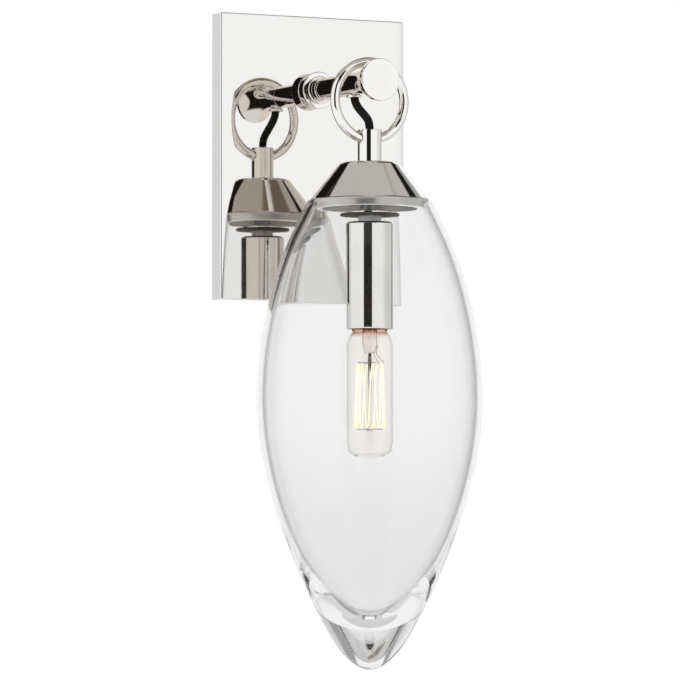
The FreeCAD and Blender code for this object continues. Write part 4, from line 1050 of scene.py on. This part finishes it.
def studio_world():
    """White all round for the camera. Polished metal and glass also see a grey ceiling, grey cards and a few
    dark screens, and what nickel shows of other nickel is warmer, as after a second reflection."""
    world = bpy.data.worlds.new("studio")
    bpy.context.scene.world = world
    world.use_nodes = True
    tree = world.node_tree
    background = tree.nodes["Background"]
    x, y, z = Value(tree, tree.nodes.new("ShaderNodeTexCoord").outputs["Generated"]).parts()
    back_x, back_y = TOWARD_CAMERA
    front = x * back_x + y * back_y
    aside = x * -back_y + y * back_x
    turn = aside.math("ARCTAN2", front) * (180 / math.pi)
    rise = z.math("ARCSINE") * (180 / math.pi)

    rays = tree.nodes.new("ShaderNodeLightPath").outputs
    to_camera, off_mirror, through_glass, mirror_count, glass_count = (Value(tree, rays[name]) for name in (
        "Is Camera Ray", "Is Glossy Ray", "Is Transmission Ray", "Glossy Depth", "Transmission Depth",
    ))
    # Glass passed 4 or 5 times is the shade's wall in front of the nickel. Other counts are left as glass.
    in_glass = through_glass * (glass_count - 4.5).absolute().above(1.0)
    off_nickel = off_mirror * (1 - in_glass)
    again = off_nickel * mirror_count.above(1.5)
    thrice = off_nickel * mirror_count.above(2.5)

    ceiling = rise.between(46.5, 49.5)
    screen = screen_by_camera(turn, rise, again, thrice) * (1 - ceiling)
    dark = screen.larger(high_screens(turn, rise) * (1 - ceiling))
    rear = (1 - front.between(-0.12, -0.03)) * (1 - (aside - 0.1).absolute().between(0.28, 0.38))
    overhead = rear.mix((0.50, 0.482, 0.458), (0.20, 0.165, 0.135))
    overhead = through_glass.mix(overhead, grey(0.78))
    mirrored = ceiling.mix(grey_cards(turn, rise), overhead)
    mirrored = dark.mix(mirrored, (0.012, 0.011, 0.010))
    mirrored = again.mix(mirrored, mirrored.scaled(0.78, 0.71, 0.635))

    seen = off_mirror.larger(through_glass).mix(grey(0.62), mirrored)
    straight = through_glass * mirror_count.math("LESS_THAN", 0.5)
    seen = straight.mix(seen, rise.absolute().between(28, 60).mix(WHITE, grey(0.80)))
    seen = to_camera.mix(seen, WHITE)
    tree.links.new(seen.socket, background.inputs["Color"])
    background.inputs["Strength"].default_value = 1.0


def floor():
    """Pale floor well below the light, as far down as under a light on a wall."""
    deselect()
    bpy.ops.mesh.primitive_circle_add(vertices=96, radius=1.5, fill_type="NGON", location=(0, -0.3, -1.5))
    piece = bpy.context.active_object
    piece.name = "floor"
    settle(piece)
    material, shader, place = new_finish("pale_floor")
    cloud = place.noise(3.0, 3.0)
    feed(
        shader,
        Base_Color=cloud.mix((0.86, 0.86, 0.855), (0.90, 0.90, 0.895)),
        Roughness=0.7 + cloud * 0.1,
        Normal=place.noise(120.0, 3.0).bump(0.05, 0.001),
    )
    piece.data.materials.append(material)


def soft_lamp(name, place, power):
    """Wide round lamp aimed at the light's middle. Mirrors, glass and the camera don't see it."""
    aim = Vector((0, -0.08, -0.1))
    data = bpy.data.lights.new(name, "AREA")
    data.shape = "DISK"
    data.size = 1.2
    data.energy = power
    lamp = bpy.data.objects.new(name, data)
    bpy.context.scene.collection.objects.link(lamp)
    lamp.location = place
    lamp.rotation_euler = (aim - Vector(place)).to_track_quat("-Z", "Y").to_euler()
    lamp.visible_camera = lamp.visible_glossy = lamp.visible_transmission = False


studio_world()
floor()
soft_lamp("soft_light_left", (-2.4, -1.6, 1.6), 38)
soft_lamp("soft_light_right", (2.2, -2.0, 1.2), 24)

bpy.context.scene.view_settings.view_transform = "Standard"
# Light turns many times inside the shade's thick bottom before it comes out.
bpy.context.scene.cycles.max_bounces = 40
bpy.context.scene.cycles.glossy_bounces = 32
bpy.context.scene.cycles.transmission_bounces = 32
